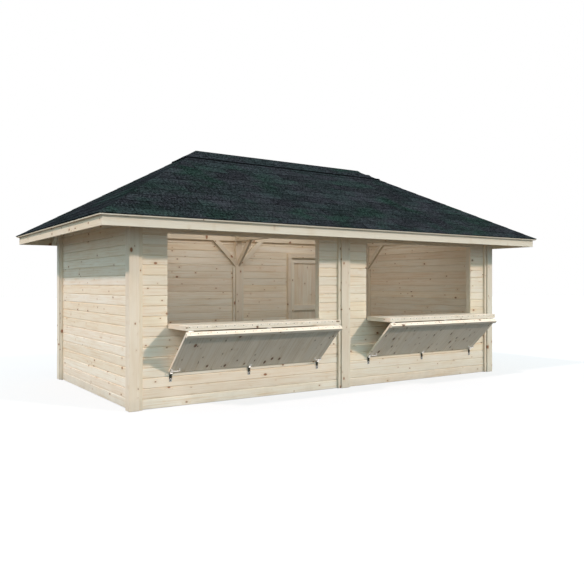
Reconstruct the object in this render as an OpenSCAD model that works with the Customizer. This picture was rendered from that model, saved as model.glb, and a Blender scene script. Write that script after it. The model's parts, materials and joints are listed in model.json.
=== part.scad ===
// Wooden market hut: a timber post-and-plank stall under a hipped shingle roof.
// Two folding serving hatches open along the front, a plank door opens at the back.
// Origin: middle of the footprint at ground level. +X to the right, +Y to the back, +Z up.
// All lengths in millimetres.

/* [Overall] */
// Length over the posts, along the front
hut_l = 6000; // [4800:50:7600]
// Width over the posts, front to back
hut_w = 3040; // [2500:20:3800]
// Height from the ground to the underside of the wall plates
wall_h = 2130; // [1850:10:2600]

/* [Timber frame] */
// Side of the square posts and plates
post = 120; // [90:5:160]
// Height of the plates and the tie beam
plate_h = 120; // [80:5:180]
// Length of each brace leg, along the post and along the plate
brace_leg = 430; // [250:10:560]
// Width of a brace
brace_w = 80; // [50:5:110]
// Thickness of a brace
brace_t = 45; // [30:1:56]

/* [Walls] */
// Thickness of the wall planks
plank_t = 28; // [19:1:60]
// Width of the battens that hold the plank ends, along the wall
batten_w = 42; // [20:1:60]
// Thickness of those battens, off the face of the planks
batten_t = 28; // [15:1:32]

/* [Serving hatches] */
// Width of each hatch opening
hatch_w = 2130; // [1500:10:2400]
// Height of the lower edge of a hatch opening
hatch_sill_z = 890; // [700:10:1050]
// Height of the upper edge of a hatch opening
hatch_head_z = 1976; // [1750:2:2060]
// Side of the studs that frame an opening on the inside
stud = 60; // [40:5:80]
// Gap between a folding leaf and the opening, each side
leaf_gap = 10; // [6:1:20]
// Thickness of the boards of a folding leaf
leaf_t = 28; // [19:1:40]
// Thickness of the battens along the edges of a leaf
leaf_batten_t = 26; // [15:1:40]
// Width of the battens around the shelf
leaf_batten_w = 60; // [40:5:90]
// Width of the batten along the hinge edge of the lower leaf
lower_batten_w = 45; // [30:5:90]
// How far the shelf stands out from the planks
shelf_d = 480; // [350:10:500]
// Length of the lower leaf, from its hinge to its foot
lower_leaf_l = 670; // [560:5:760]
// Gap between the shelf and the top of the lower leaf
leaf_joint = 12; // [6:1:20]

/* [Door] */
// Width of the doorway between its jambs
door_w = 800; // [700:10:1000]
// Height of the doorway
door_h = 1885; // [1700:5:2000]
// Gap around the door leaf
door_gap = 8; // [6:1:12]
// Gap under the door leaf
door_foot = 15; // [8:1:40]
// Width of the door's stiles
stile_w = 90; // [60:5:130]
// Width of the door's rails
rail_w = 100; // [60:5:140]
// Thickness of the stiles and rails
stile_t = 26; // [18:1:40]
// Thickness of the door's upright boards
door_board_t = 18; // [12:1:28]
// Height of the lower edge of the door's middle rail
mid_rail_z = 919; // [700:1:1100]
// Face width of the door jambs
jamb_w = 60; // [40:5:90]
// How far the door stops stand into the doorway
stop_w = 12; // [8:1:25]
// Radius of the door's hinge pins
pin_r = 6; // [4:0.5:10]

/* [Roof] */
// How far the shingles reach past the posts
overhang = 480; // [300:10:650]
// Pitch of every slope, in degrees
pitch = 30; // [20:1:40]
// Height of the top of the shingles at the eave
eave_z = 2111; // [1950:1:2400]
// Thickness of the shingle layer
shingle_t = 10; // [5:1:20]
// Thickness of the roof boarding
deck_t = 18; // [12:1:28]
// How far the shingles reach past the boarding
drip = 12; // [5:1:30]
// Set-back of the fascia boards from the shingle edge
fascia_inset = 44; // [25:1:80]
// Height of the fascia boards' lower edge below the shingle edge
fascia_drop = 127; // [100:1:180]
// Thickness of the fascia boards
fascia_t = 20; // [15:1:30]
// Depth of the rafters, square to the slope
rafter_d = 110; // [80:5:150]
// Thickness of the rafters
rafter_t = 50; // [35:5:70]
// Largest spacing of the rafters
rafter_pitch = 620; // [450:10:800]
// Depth of the ridge beam
ridge_d = 160; // [120:5:220]
// Width that the ridge cap covers down each slope, seen from above
cap_w = 255; // [100:5:320]
// Height of the ridge cap above the shingles
cap_t = 15; // [8:1:30]
// Gap between sloped layers that rest on each other
seat = 0.05; // [0.02:0.01:0.3]

/* [Hidden] */
$fn = 48;

pine = "burlywood";
pale_pine = "wheat";
steel = "silver";
slate = "darkslategray";

// Half sizes of the footprint and the corners of the bays
hx = hut_l / 2;
hy = hut_w / 2;
bay_w = (hut_l - 3 * post) / 2;
bay_x = (post + bay_w) / 2;

// The planks stand far enough out in the posts to leave room for a brace behind them
brace_clear = 1;
recess = post - plank_t - brace_t - brace_clear;
plate_top = wall_h + plate_h;

// Roof planes: the shingle top is eave_z at the eave and rises with the pitch
rise = tan(pitch);
roof_hx = hx + overhang;
roof_hy = hy + overhang;
ridge_hx = roof_hx - roof_hy;
shingle_v = shingle_t / cos(pitch);
deck_v = deck_t / cos(pitch);
rafter_v = rafter_d / cos(pitch);
deck_top_v = shingle_v + seat;
deck_bottom_v = deck_top_v + deck_v;
rafter_top_v = deck_bottom_v + seat;
fascia_hx = roof_hx - fascia_inset;
fascia_hy = roof_hy - fascia_inset;
big = 4 * hut_l;

// Plank faces
front_face_y = -hy + recess;
back_face_y = hy - recess;

// Serving hatches
leaf_w = hatch_w - 2 * leaf_gap;
shelf_top = hatch_sill_z + leaf_t + leaf_batten_t;
lower_z = hatch_sill_z - leaf_joint;
foot_clear = 0.5;
lower_run = shelf_d - foot_clear;
lower_tilt = acos(lower_run / lower_leaf_l);

// Door
stop_clear = 6;
door_x0 = bay_x - door_w / 2;
door_face_y = back_face_y;
door_t = stile_t + door_board_t;
strap_l = 420;
strap_h = 34;
strap_t = 4;
knuckle_r = pin_r + 4;
pin_clear = 0.3;
pin_over = 12;
pintle_foot = 8;
pintle_neck = 6;
pintle_plate_inset = 10;
hinge_x = door_x0 + door_gap / 2;
hinge_y = door_face_y + knuckle_r + strap_t;
hinge_zs = [330, 1560];

// ---------- helpers ----------

module block(x0, x1, y0, y1, z0, z1) {
  translate([x0, y0, z0])
    cube([x1 - x0, y1 - y0, z1 - z0]);
}

// Mirrors its children left to right, keeping both
module both_x() {
  children();
  mirror([1, 0, 0]) children();
}

// Mirrors its children front to back, keeping both
module both_y() {
  children();
  mirror([0, 1, 0]) children();
}

// Solid under a hipped roof surface that lies drop_v below the shingle top
module under_roof(drop_v) {
  top = eave_z + rise * roof_hy - drop_v;
  intersection() {
    rotate([90, 0, 90])
      linear_extrude(big, center = true)
        polygon([[-roof_hy, top - rise * roof_hy], [0, top], [roof_hy, top - rise * roof_hy],
                 [roof_hy, 0], [-roof_hy, 0]]);
    rotate([90, 0, 0])
      linear_extrude(big, center = true)
        polygon([[-roof_hx, top - rise * roof_hy], [-ridge_hx, top], [ridge_hx, top],
                 [roof_hx, top - rise * roof_hy], [roof_hx, 0], [-roof_hx, 0]]);
  }
}

// Outline of the front slope, seen from above, taken in by inset at the eave
module front_plan(inset = 0) {
  polygon([[-roof_hx + inset, -roof_hy + inset], [roof_hx - inset, -roof_hy + inset],
           [ridge_hx, 0], [-ridge_hx, 0]]);
}

// Outline of the left slope, seen from above, taken in by inset at the eave
module left_plan(inset = 0) {
  polygon([[-roof_hx + inset, -roof_hy + inset], [-ridge_hx, 0], [-roof_hx + inset, roof_hy - inset]]);
}

// Slab of the front slope between two depths below the shingle top
module front_slab(top_v, bottom_v) {
  h = eave_z;
  rotate([90, 0, 90])
    linear_extrude(big, center = true)
      polygon([[-roof_hy, h - top_v], [0, h + rise * roof_hy - top_v],
               [0, h + rise * roof_hy - bottom_v], [-roof_hy, h - bottom_v]]);
}

// Slab of the left slope between two depths below the shingle top
module left_slab(top_v, bottom_v) {
  h = eave_z;
  rotate([90, 0, 0])
    linear_extrude(big, center = true)
      polygon([[-roof_hx, h - top_v], [-ridge_hx, h + rise * roof_hy - top_v],
               [-ridge_hx, h + rise * roof_hy - bottom_v], [-roof_hx, h - bottom_v]]);
}

// ---------- timber frame ----------

module post_at(x, y) {
  block(x - post / 2, x + post / 2, y - post / 2, y + post / 2, 0, wall_h);
}

module corner_posts() {
  color(pale_pine)
    both_x() both_y() post_at(-hx + post / 2, -hy + post / 2);
}

module middle_posts() {
  color(pale_pine)
    both_y() post_at(0, -hy + post / 2);
}

module long_plates() {
  color(pale_pine)
    both_y() block(-hx, hx, -hy, -hy + post, wall_h, plate_top);
}

module short_plates() {
  color(pale_pine)
    both_x() block(-hx, -hx + post, -hy + post, hy - post, wall_h, plate_top);
}

module tie_beam() {
  color(pale_pine)
    block(-post / 2, post / 2, -hy + post, hy - post, wall_h, plate_top);
}

// Brace in the XZ plane: foot on a post face at x = 0, head under the plate
module brace() {
  slope_w = brace_w * sqrt(2);
  rotate([90, 0, 0])
    linear_extrude(brace_t, center = true)
      polygon([[0, wall_h - brace_leg], [brace_leg, wall_h],
               [brace_leg - slope_w, wall_h], [0, wall_h - brace_leg + slope_w]]);
}

// Braces are flush with the inner faces of the posts. The front wall has none: its hatch
// frames stand in their place.
module wall_braces() {
  brace_y = hy - post + brace_t / 2;
  color(pale_pine) {
    both_x() translate([-hx + post, brace_y, 0]) brace();
    both_x() translate([post / 2, brace_y, 0]) brace();
    both_x() both_y()
      translate([-hx + post - brace_t / 2, -hy + post, 0]) rotate([0, 0, 90]) brace();
  }
}

module tie_braces() {
  color(pale_pine)
    both_y() translate([0, -hy + post, 0]) rotate([0, 0, 90]) brace();
}

// ---------- plank walls ----------

module left_wall() {
  color(pine)
    block(-hx + recess, -hx + recess + plank_t, -hy + post, hy - post, 0, wall_h);
}

module right_wall() {
  color(pine)
    mirror([1, 0, 0]) left_wall();
}

// Piece of the back wall between two x and two heights
module back_planks(x0, x1, z0, z1) {
  block(x0, x1, back_face_y - plank_t, back_face_y, z0, z1);
}

module back_wall_left() {
  color(pine)
    back_planks(-hx + post, -post / 2, 0, wall_h);
}

module back_wall_door_sides() {
  color(pine) {
    back_planks(post / 2, door_x0 - jamb_w, 0, wall_h);
    back_planks(door_x0 + door_w + jamb_w, hx - post, 0, wall_h);
  }
}

module back_wall_over_door() {
  color(pine)
    back_planks(door_x0 - jamb_w, door_x0 + door_w + jamb_w, door_h + jamb_w, wall_h);
}

// Piece of a front bay between two x from the bay's middle, and two heights
module front_planks(x0, x1, z0, z1) {
  block(x0, x1, front_face_y, front_face_y + plank_t, z0, z1);
}

module front_apron() {
  front_planks(-bay_w / 2, bay_w / 2, 0, hatch_sill_z);
}

module front_sides() {
  both_x() front_planks(-bay_w / 2, -hatch_w / 2, hatch_sill_z, hatch_head_z);
}

module front_lintel() {
  front_planks(-bay_w / 2, bay_w / 2, hatch_head_z, wall_h);
}

module front_left_apron() {
  color(pine) translate([-bay_x, 0, 0]) front_apron();
}

module front_left_sides() {
  color(pine) translate([-bay_x, 0, 0]) front_sides();
}

module front_left_lintel() {
  color(pine) translate([-bay_x, 0, 0]) front_lintel();
}

module front_right_apron() {
  color(pine) translate([bay_x, 0, 0]) front_apron();
}

module front_right_sides() {
  color(pine) translate([bay_x, 0, 0]) front_sides();
}

module front_right_lintel() {
  color(pine) translate([bay_x, 0, 0]) front_lintel();
}

// ---------- battens in the corners of posts and planks ----------

// Battens beside the posts of the front and back bays, with their outer face at y0
module bay_battens(y0, top) {
  both_x() both_y() block(-hx + post, -hx + post + batten_w, y0, y0 + batten_t, 0, top);
  both_x() both_y() block(post / 2, post / 2 + batten_w, y0, y0 + batten_t, 0, top);
}

// Battens beside the posts of the side walls, with their outer face at x0
module side_battens(x0, top) {
  both_x() both_y() block(x0, x0 + batten_t, -hy + post, -hy + post + batten_w, 0, top);
}

module outer_battens() {
  color(pale_pine) {
    bay_battens(front_face_y - batten_t, wall_h);
    side_battens(-hx + recess - batten_t, wall_h);
  }
}

// The inner battens stop a little under the braces
under_brace = 10;

module inner_battens() {
  top = wall_h - brace_leg - under_brace;
  color(pale_pine) {
    bay_battens(front_face_y + plank_t, top);
    side_battens(-hx + recess + plank_t, top);
  }
}

// ---------- serving hatches ----------

// Stud frame behind the planks, around one opening
module hatch_frame() {
  y0 = front_face_y + plank_t;
  difference() {
    block(-hatch_w / 2 - stud, hatch_w / 2 + stud, y0, y0 + stud,
          hatch_sill_z - stud, hatch_head_z + stud);
    block(-hatch_w / 2, hatch_w / 2, y0 - 1, y0 + stud + 1, hatch_sill_z, hatch_head_z);
  }
}

module left_hatch_frame() {
  color(pale_pine) translate([-bay_x, 0, 0]) hatch_frame();
}

module right_hatch_frame() {
  color(pale_pine) translate([bay_x, 0, 0]) hatch_frame();
}

// Upper leaf: boards over a frame of edge battens, level when open
module shelf() {
  y0 = front_face_y - shelf_d;
  z0 = hatch_sill_z;
  block(-leaf_w / 2, leaf_w / 2, y0, front_face_y, z0 + leaf_batten_t, shelf_top);
  difference() {
    block(-leaf_w / 2, leaf_w / 2, y0, front_face_y, z0, z0 + leaf_batten_t + 1);
    block(-leaf_w / 2 + leaf_batten_w, leaf_w / 2 - leaf_batten_w, y0 + leaf_batten_w,
          front_face_y - leaf_batten_w, z0 - 1, z0 + leaf_batten_t + 2);
  }
}

module left_shelf() {
  color(pale_pine) translate([-bay_x, 0, 0]) shelf();
}

module right_shelf() {
  color(pale_pine) translate([bay_x, 0, 0]) shelf();
}

// Places its children on the lower leaf: Y runs down the leaf from its hinge edge,
// Z is square to it on the side of the wall
module on_lower_leaf() {
  translate([0, front_face_y - shelf_d, lower_z])
    rotate([-lower_tilt, 0, 0])
      children();
}

// Lower leaf: boards with one batten on the outer face along the hinge edge
module lower_leaf() {
  on_lower_leaf() {
    block(-leaf_w / 2, leaf_w / 2, 0, lower_leaf_l, -leaf_t, 0);
    block(-leaf_w / 2, leaf_w / 2, 0, lower_batten_w, -leaf_t - leaf_batten_t, -leaf_t + 1);
  }
}

module left_lower_leaf() {
  color(pale_pine) translate([-bay_x, 0, 0]) lower_leaf();
}

module right_lower_leaf() {
  color(pale_pine) translate([bay_x, 0, 0]) lower_leaf();
}

hatch_hinge_w = 60;
hatch_hinge_d = 24;
hatch_hinge_in = 2;
hatch_hinge_xs = [-leaf_w / 2 + hatch_hinge_w, 0, leaf_w / 2 - hatch_hinge_w];

// Hinge that closes the gap between the shelf's edge and the lower leaf
module hatch_hinge() {
  y0 = front_face_y - shelf_d;
  translate([0, y0 + hatch_hinge_in + hatch_hinge_d / 2, hatch_sill_z - leaf_joint / 2])
    cube([hatch_hinge_w, hatch_hinge_d, leaf_joint], center = true);
}

module hatch_hinges() {
  color(steel)
    for (side = [-1, 1], x = hatch_hinge_xs)
      translate([side * bay_x + x, 0, 0]) hatch_hinge();
}

// Toggle latches along the foot of each lower leaf, hanging from it against the planks
latch_w = 34;
latch_l = 105;
latch_t = 10;
latch_plate_l = 40;
latch_plate_t = 4;
latch_edge = 27;
latch_xs = [-leaf_w / 2 + latch_edge, 0, leaf_w / 2 - latch_edge];

// Side view of a latch: a plate on the leaf's outer face, bent down at the foot towards the planks
module hatch_latch() {
  up = [-cos(lower_tilt), sin(lower_tilt)];
  out = [-sin(lower_tilt), -cos(lower_tilt)];
  foot = [front_face_y - foot_clear, lower_z - lower_leaf_l * sin(lower_tilt)] + (leaf_t + seat) * out;
  top = foot + latch_plate_l * up;
  bend_up = (latch_t - latch_plate_t * sin(lower_tilt)) / cos(lower_tilt);
  toe = [front_face_y - foot_clear, foot[1] - latch_l];
  rotate([90, 0, 90])
    linear_extrude(latch_w, center = true)
      polygon([foot, top, top + latch_plate_t * out, foot + latch_plate_t * out + bend_up * up,
               toe - [latch_t, 0], toe]);
}

module hatch_latches() {
  color(steel)
    for (side = [-1, 1], x = latch_xs)
      translate([side * bay_x + x, 0, 0]) hatch_latch();
}

pull_l = 104;
pull_r = 5;
pull_stand = 30;
pull_edge = 61;
pull_up = 62;
pull_xs = [-leaf_w / 2 + pull_edge, leaf_w / 2 - pull_edge];

// Bow handle on the outer face of the lower leaf
module hatch_pull() {
  on_lower_leaf()
    translate([0, lower_leaf_l - pull_up, -leaf_t]) {
      for (side = [-1, 1])
        translate([side * (pull_l / 2 - pull_r), 0, -pull_stand])
          cylinder(r = pull_r, h = pull_stand);
      translate([-pull_l / 2, 0, -pull_stand])
        rotate([0, 90, 0]) cylinder(r = pull_r, h = pull_l);
    }
}

module hatch_pulls() {
  color(steel)
    for (side = [-1, 1], x = pull_xs)
      translate([side * bay_x + x, 0, 0]) hatch_pull();
}

// ---------- back door ----------

// Jambs and head, with stops on the room's side of the leaf
module door_frame() {
  y0 = back_face_y - plank_t - stud;
  stop_y = door_face_y - door_t - stop_clear;
  x1 = door_x0 + door_w;
  color(pale_pine)
    difference() {
      block(door_x0 - jamb_w, x1 + jamb_w, y0, back_face_y, 0, door_h + jamb_w);
      block(door_x0 + stop_w, x1 - stop_w, y0 - 1, back_face_y, -1, door_h - stop_w);
      block(door_x0, x1, stop_y, back_face_y + 1, -1, door_h);
    }
}

// Boards outside, stiles and rails inside
module door_leaf() {
  x0 = door_x0 + door_gap;
  x1 = door_x0 + door_w - door_gap;
  z1 = door_h - door_gap;
  ym = door_face_y - door_board_t;
  y0 = door_face_y - door_t;
  color(pine) {
    block(x0, x1, ym, door_face_y, door_foot, z1);
    difference() {
      block(x0, x1, y0, ym + 1, door_foot, z1);
      block(x0 + stile_w, x1 - stile_w, y0 - 1, ym, door_foot + rail_w, mid_rail_z);
      block(x0 + stile_w, x1 - stile_w, y0 - 1, ym, mid_rail_z + rail_w, z1 - rail_w);
    }
  }
}

// Fixed half of a hinge: a pin on a plate screwed to the jamb
module pintle() {
  y0 = -knuckle_r - strap_t;
  cylinder(r = pin_r, h = strap_h + pin_over);
  block(-knuckle_r, knuckle_r, -knuckle_r, knuckle_r, -pintle_foot, 0);
  block(-jamb_w + pintle_plate_inset, -door_gap / 2, y0, -knuckle_r, -pintle_foot, strap_h);
  block(-knuckle_r - pintle_neck, -door_gap / 2, y0, -knuckle_r + pintle_neck, -pintle_foot, 0);
}

module door_pintles() {
  color(steel)
    for (z = hinge_zs)
      translate([hinge_x, hinge_y, z]) pintle();
}

// Moving half of a hinge: a long strap on the leaf with an eye over the pin
module strap() {
  difference() {
    union() {
      cylinder(r = knuckle_r, h = strap_h);
      block(0, strap_l, -knuckle_r - strap_t, -knuckle_r, 0, strap_h);
      block(0, knuckle_r, -knuckle_r - strap_t, 0, 0, strap_h);
    }
    translate([0, 0, -1]) cylinder(r = pin_r + pin_clear, h = strap_h + 2);
  }
}

module door_straps() {
  color(steel)
    for (z = hinge_zs)
      translate([hinge_x, hinge_y, z + pin_clear]) strap();
}

handle_z = 1010;
handle_plate_w = 40;
handle_plate_h = 180;
handle_plate_t = 5;
handle_stem = 50;
handle_lever = 120;
handle_r = 9;

// Lever handles on both faces of the leaf
module door_handle() {
  x = door_x0 + door_w - door_gap - stile_w / 2;
  color(steel)
    for (side = [0, 1]) {
      yf = side == 0 ? door_face_y : door_face_y - door_t;
      translate([x, yf, handle_z])
        mirror([0, side, 0]) {
          block(-handle_plate_w / 2, handle_plate_w / 2, 0, handle_plate_t,
                -handle_plate_h / 2, handle_plate_h / 2);
          rotate([-90, 0, 0]) cylinder(r = handle_r, h = handle_stem);
          translate([0, handle_stem, 0])
            rotate([0, -90, 0]) cylinder(r = handle_r, h = handle_lever);
        }
    }
}

// ---------- roof ----------

module ridge_beam() {
  color(pale_pine)
    intersection() {
      under_roof(rafter_top_v);
      block(-ridge_hx - rafter_t, ridge_hx + rafter_t, -rafter_t / 2, rafter_t / 2,
            eave_z + rise * roof_hy - rafter_top_v - ridge_d, big);
    }
}

// Hip rafter of the front left corner, cut to lie under both slopes
module hip_rafter() {
  run = roof_hy - fascia_inset - fascia_t;
  intersection() {
    under_roof(rafter_top_v);
    translate([-ridge_hx, 0, 0])
      rotate([0, 0, -135])
        rotate([90, 0, 0])
          linear_extrude(rafter_t, center = true) {
            top = eave_z + rise * roof_hy - rafter_top_v;
            slope = rise / sqrt(2);
            r0 = rafter_t;
            r1 = run * sqrt(2) - rafter_t / 2;
            polygon([[r0, top], [r0, top - slope * r0 - rafter_v],
                     [r1, top - slope * r1 - rafter_v], [r1, top]]);
          }
  }
}

module hip_rafters() {
  color(pale_pine)
    difference() {
      both_x() both_y() hip_rafter();
      plates_box();
      block(-hx, hx, -rafter_t / 2, rafter_t / 2, plate_top, big);
    }
}

// Where the plates are, so that rafters can be notched over them
module plates_box() {
  difference() {
    block(-hx, hx, -hy, hy, wall_h, plate_top);
    block(-hx + post, hx - post, -hy + post, hy - post, wall_h - 1, plate_top + 1);
  }
}

// Gap kept between a jack rafter and the hip rafter that carries it
hip_clear = rafter_t / 2 * sqrt(2) + rafter_t / 2 + 1;
long_count = ceil(hut_l / rafter_pitch);
short_count = ceil(hut_w / rafter_pitch);

module rafters() {
  tail = fascia_inset + fascia_t;
  color(pale_pine) {
    both_y()
      for (i = [0 : long_count]) {
        x = -hx + rafter_t + i * (hut_l - 2 * rafter_t) / long_count;
        top_y = -max(abs(x) - ridge_hx + hip_clear, rafter_t / 2);
        difference() {
          intersection() {
            front_slab(rafter_top_v, rafter_top_v + rafter_v);
            block(x - rafter_t / 2, x + rafter_t / 2, -roof_hy + tail, top_y, 0, big);
          }
          plates_box();
        }
      }
    both_x()
      for (i = [1 : short_count - 1]) {
        y = -hy + i * hut_w / short_count;
        top_x = -ridge_hx - max(abs(y) + hip_clear, 2 * rafter_t);
        difference() {
          intersection() {
            left_slab(rafter_top_v, rafter_top_v + rafter_v);
            block(-roof_hx + tail, top_x, y - rafter_t / 2, y + rafter_t / 2, 0, big);
          }
          plates_box();
        }
      }
  }
}

module roof_deck_front() {
  color(pine)
    intersection() {
      front_slab(deck_top_v, deck_bottom_v);
      linear_extrude(big) front_plan(drip);
    }
}

module roof_deck_back() {
  color(pine)
    mirror([0, 1, 0]) roof_deck_front();
}

module roof_deck_left() {
  color(pine)
    intersection() {
      left_slab(deck_top_v, deck_bottom_v);
      linear_extrude(big) left_plan(drip);
    }
}

module roof_deck_right() {
  color(pine)
    mirror([1, 0, 0]) roof_deck_left();
}

fascia_bottom = eave_z - fascia_drop;
fascia_top = eave_z + rise * fascia_inset - deck_bottom_v - seat;

module fascia_long() {
  color(pale_pine)
    both_y()
      block(-fascia_hx, fascia_hx, -fascia_hy, -fascia_hy + fascia_t, fascia_bottom, fascia_top);
}

module fascia_short() {
  color(pale_pine)
    both_x()
      block(-fascia_hx, -fascia_hx + fascia_t, -fascia_hy + fascia_t, fascia_hy - fascia_t,
            fascia_bottom, fascia_top);
}

module shingles() {
  color(slate)
    difference() {
      intersection() {
        under_roof(0);
        block(-roof_hx, roof_hx, -roof_hy, roof_hy, eave_z - shingle_v - 1, big);
      }
      under_roof(shingle_v);
      block(-big, big, -big, big, 0, eave_z - shingle_v);
    }
}

module ridge_cap() {
  half_x = ridge_hx + cap_w;
  color(slate)
    intersection() {
      difference() {
        under_roof(-cap_t);
        under_roof(-seat);
      }
      block(-half_x, half_x, -cap_w, cap_w, 0, big);
    }
}

corner_posts();
middle_posts();
long_plates();
short_plates();
tie_beam();
wall_braces();
tie_braces();
left_wall();
right_wall();
back_wall_left();
back_wall_door_sides();
back_wall_over_door();
front_left_apron();
front_left_sides();
front_left_lintel();
front_right_apron();
front_right_sides();
front_right_lintel();
outer_battens();
inner_battens();
left_hatch_frame();
right_hatch_frame();
left_shelf();
right_shelf();
left_lower_leaf();
right_lower_leaf();
hatch_hinges();
hatch_latches();
hatch_pulls();
door_frame();
door_leaf();
door_pintles();
door_straps();
door_handle();
ridge_beam();
hip_rafters();
rafters();
roof_deck_front();
roof_deck_back();
roof_deck_left();
roof_deck_right();
fascia_long();
fascia_short();
shingles();
ridge_cap();
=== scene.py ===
"""Looks of the wooden market hut: planks, roof boards, bitumen shingles and fittings, in metres.

Every new piece is a closed surface worked out as whole arrays in the frame of the CAD part.
"""

import json
import math

import bpy
import numpy as np
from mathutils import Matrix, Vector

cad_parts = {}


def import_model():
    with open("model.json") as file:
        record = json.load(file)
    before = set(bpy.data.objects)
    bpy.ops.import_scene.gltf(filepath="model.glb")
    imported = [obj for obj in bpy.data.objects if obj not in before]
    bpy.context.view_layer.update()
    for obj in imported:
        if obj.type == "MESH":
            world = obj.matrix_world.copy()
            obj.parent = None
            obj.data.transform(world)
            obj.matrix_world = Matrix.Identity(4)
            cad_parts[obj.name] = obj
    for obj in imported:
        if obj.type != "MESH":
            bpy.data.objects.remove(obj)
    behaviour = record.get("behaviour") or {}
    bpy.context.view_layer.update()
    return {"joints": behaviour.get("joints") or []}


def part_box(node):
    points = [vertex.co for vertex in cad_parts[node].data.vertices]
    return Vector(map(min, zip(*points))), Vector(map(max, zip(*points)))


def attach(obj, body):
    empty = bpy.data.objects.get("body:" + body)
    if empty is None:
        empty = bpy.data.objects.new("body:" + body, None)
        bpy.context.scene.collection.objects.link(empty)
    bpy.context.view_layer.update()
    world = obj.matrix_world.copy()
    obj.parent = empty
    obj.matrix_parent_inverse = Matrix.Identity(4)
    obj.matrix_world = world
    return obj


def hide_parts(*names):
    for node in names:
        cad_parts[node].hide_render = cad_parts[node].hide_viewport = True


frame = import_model()

# ---------- sizes read from the CAD part ----------


def box(node):
    """Lowest and highest corner of a CAD node as arrays."""
    low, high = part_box(node)
    return np.array(low), np.array(high)


POST_LOW, POST_HIGH = box("middle_posts")
FRAME_HIGH = box("corner_posts")[1]
PLATE_TOP = box("long_plates")[1][2]
WALL_LOW, WALL_HIGH = box("left_wall")
APRON_LOW, APRON_HIGH = box("front_right_apron")
SIDES_HIGH = box("front_right_sides")[1]
BACK_LOW, BACK_HIGH = box("back_wall_left")
OVER_LOW, OVER_HIGH = box("back_wall_over_door")
HATCH_LOW, HATCH_HIGH = box("right_hatch_frame")
SHELF_LOW, SHELF_HIGH = box("right_shelf")
LEAF_HINGE_LOW, LEAF_HINGE_HIGH = box("hatch_hinges")
DOOR_LOW, DOOR_HIGH = box("door_leaf")
STRAP_LOW, STRAP_HIGH = box("door_straps")
LEVER_LOW = box("door_handle")[0]
JAMB_LOW, JAMB_HIGH = box("door_frame")
ROOF_HIGH = box("shingles")[1]
DECK_LOW = box("roof_deck_front")[0]
FASCIA_LOW, FASCIA_HIGH = box("fascia_long")
FASCIA_END_LOW, FASCIA_END_HIGH = box("fascia_short")
CAP_HIGH = box("ridge_cap")[1]
RIDGE_LOW, RIDGE_HIGH = box("ridge_beam")
OUTER_BATTEN_LOW = box("outer_battens")[0]
INNER_BATTEN_TOP = box("inner_battens")[1][2]
BRACE_LOW, BRACE_HIGH = box("wall_braces")

POST = POST_HIGH[0] - POST_LOW[0]
HALF_L, HALF_W = FRAME_HIGH[0], FRAME_HIGH[1]
WALL_H = POST_HIGH[2]
PLANK_T = WALL_HIGH[0] - WALL_LOW[0]
FRONT_FACE = APRON_LOW[1]
BAY_X = (APRON_LOW[0] + APRON_HIGH[0]) / 2
BAY_W = APRON_HIGH[0] - APRON_LOW[0]
SILL_Z, HEAD_Z = APRON_HIGH[2], SIDES_HIGH[2]
STUD = HATCH_HIGH[1] - HATCH_LOW[1]
HATCH_W = HATCH_HIGH[0] - HATCH_LOW[0] - 2 * STUD

PITCH = math.radians(30)
RISE = math.tan(PITCH)
EAVE_Z = ROOF_HIGH[2] - RISE * ROOF_HIGH[1]
RIDGE_HALF = ROOF_HIGH[0] - ROOF_HIGH[1]
SLOPE_LENGTH = ROOF_HIGH[1] / math.cos(PITCH)

# Width that one plank covers, in the walls and across the leaves
PLANK_COVER = 0.115
# Eased edge of planed boards, unless a piece has its own
PLANED_EDGE = 0.0025
# Smallest chamfer, which keeps the corner faces of a sharp board from having no area
LEAST_CHAMFER = 0.0002

UP = np.array([0, 0, 1.0])

# ---------- mesh builders ----------


def unit(v):
    """Vectors scaled to a length of one."""
    return v / np.linalg.norm(v, axis=-1, keepdims=True)


def hashed(key, salt):
    """Repeatable random share from 0 to 1 for each whole number in key.

    It is what is left after the point of a large multiple of a sine."""
    return np.modf(np.abs(np.sin(key * 12.9898 + salt * 78.233) * 43758.5453))[0]


def new_piece(name, points, faces, material, nodes, grain, tone, body="hut"):
    """Makes one flat-shaded mesh from points and arrays of faces, and hands it to the frame.

    grain is where each point lies in its board or shingle, and tone a random share for each."""
    mesh = bpy.data.meshes.new(name)
    counts = np.concatenate([np.full(len(f), f.shape[1]) for f in faces])
    corners = np.concatenate([f.ravel() for f in faces]).astype(np.int32)
    mesh.vertices.add(len(points))
    mesh.vertices.foreach_set("co", np.asarray(points, np.float32).ravel())
    mesh.loops.add(len(corners))
    mesh.loops.foreach_set("vertex_index", corners)
    mesh.polygons.add(len(counts))
    mesh.polygons.foreach_set("loop_start", (np.cumsum(counts) - counts).astype(np.int32))
    mesh.attributes.new("grain", "FLOAT_VECTOR", "POINT")
    mesh.attributes["grain"].data.foreach_set("vector", np.asarray(grain, np.float32).ravel())
    mesh.attributes.new("tone", "FLOAT", "POINT")
    mesh.attributes["tone"].data.foreach_set("value", np.asarray(tone, np.float32).ravel())
    mesh.materials.append(material)
    mesh.update(calc_edges=True)
    mesh.polygons.foreach_set("use_smooth", np.full(len(counts), False))
    obj = bpy.data.objects.new(name, mesh)
    bpy.context.scene.collection.objects.link(obj)
    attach(obj, body)
    if nodes:
        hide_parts(*nodes)


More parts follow.
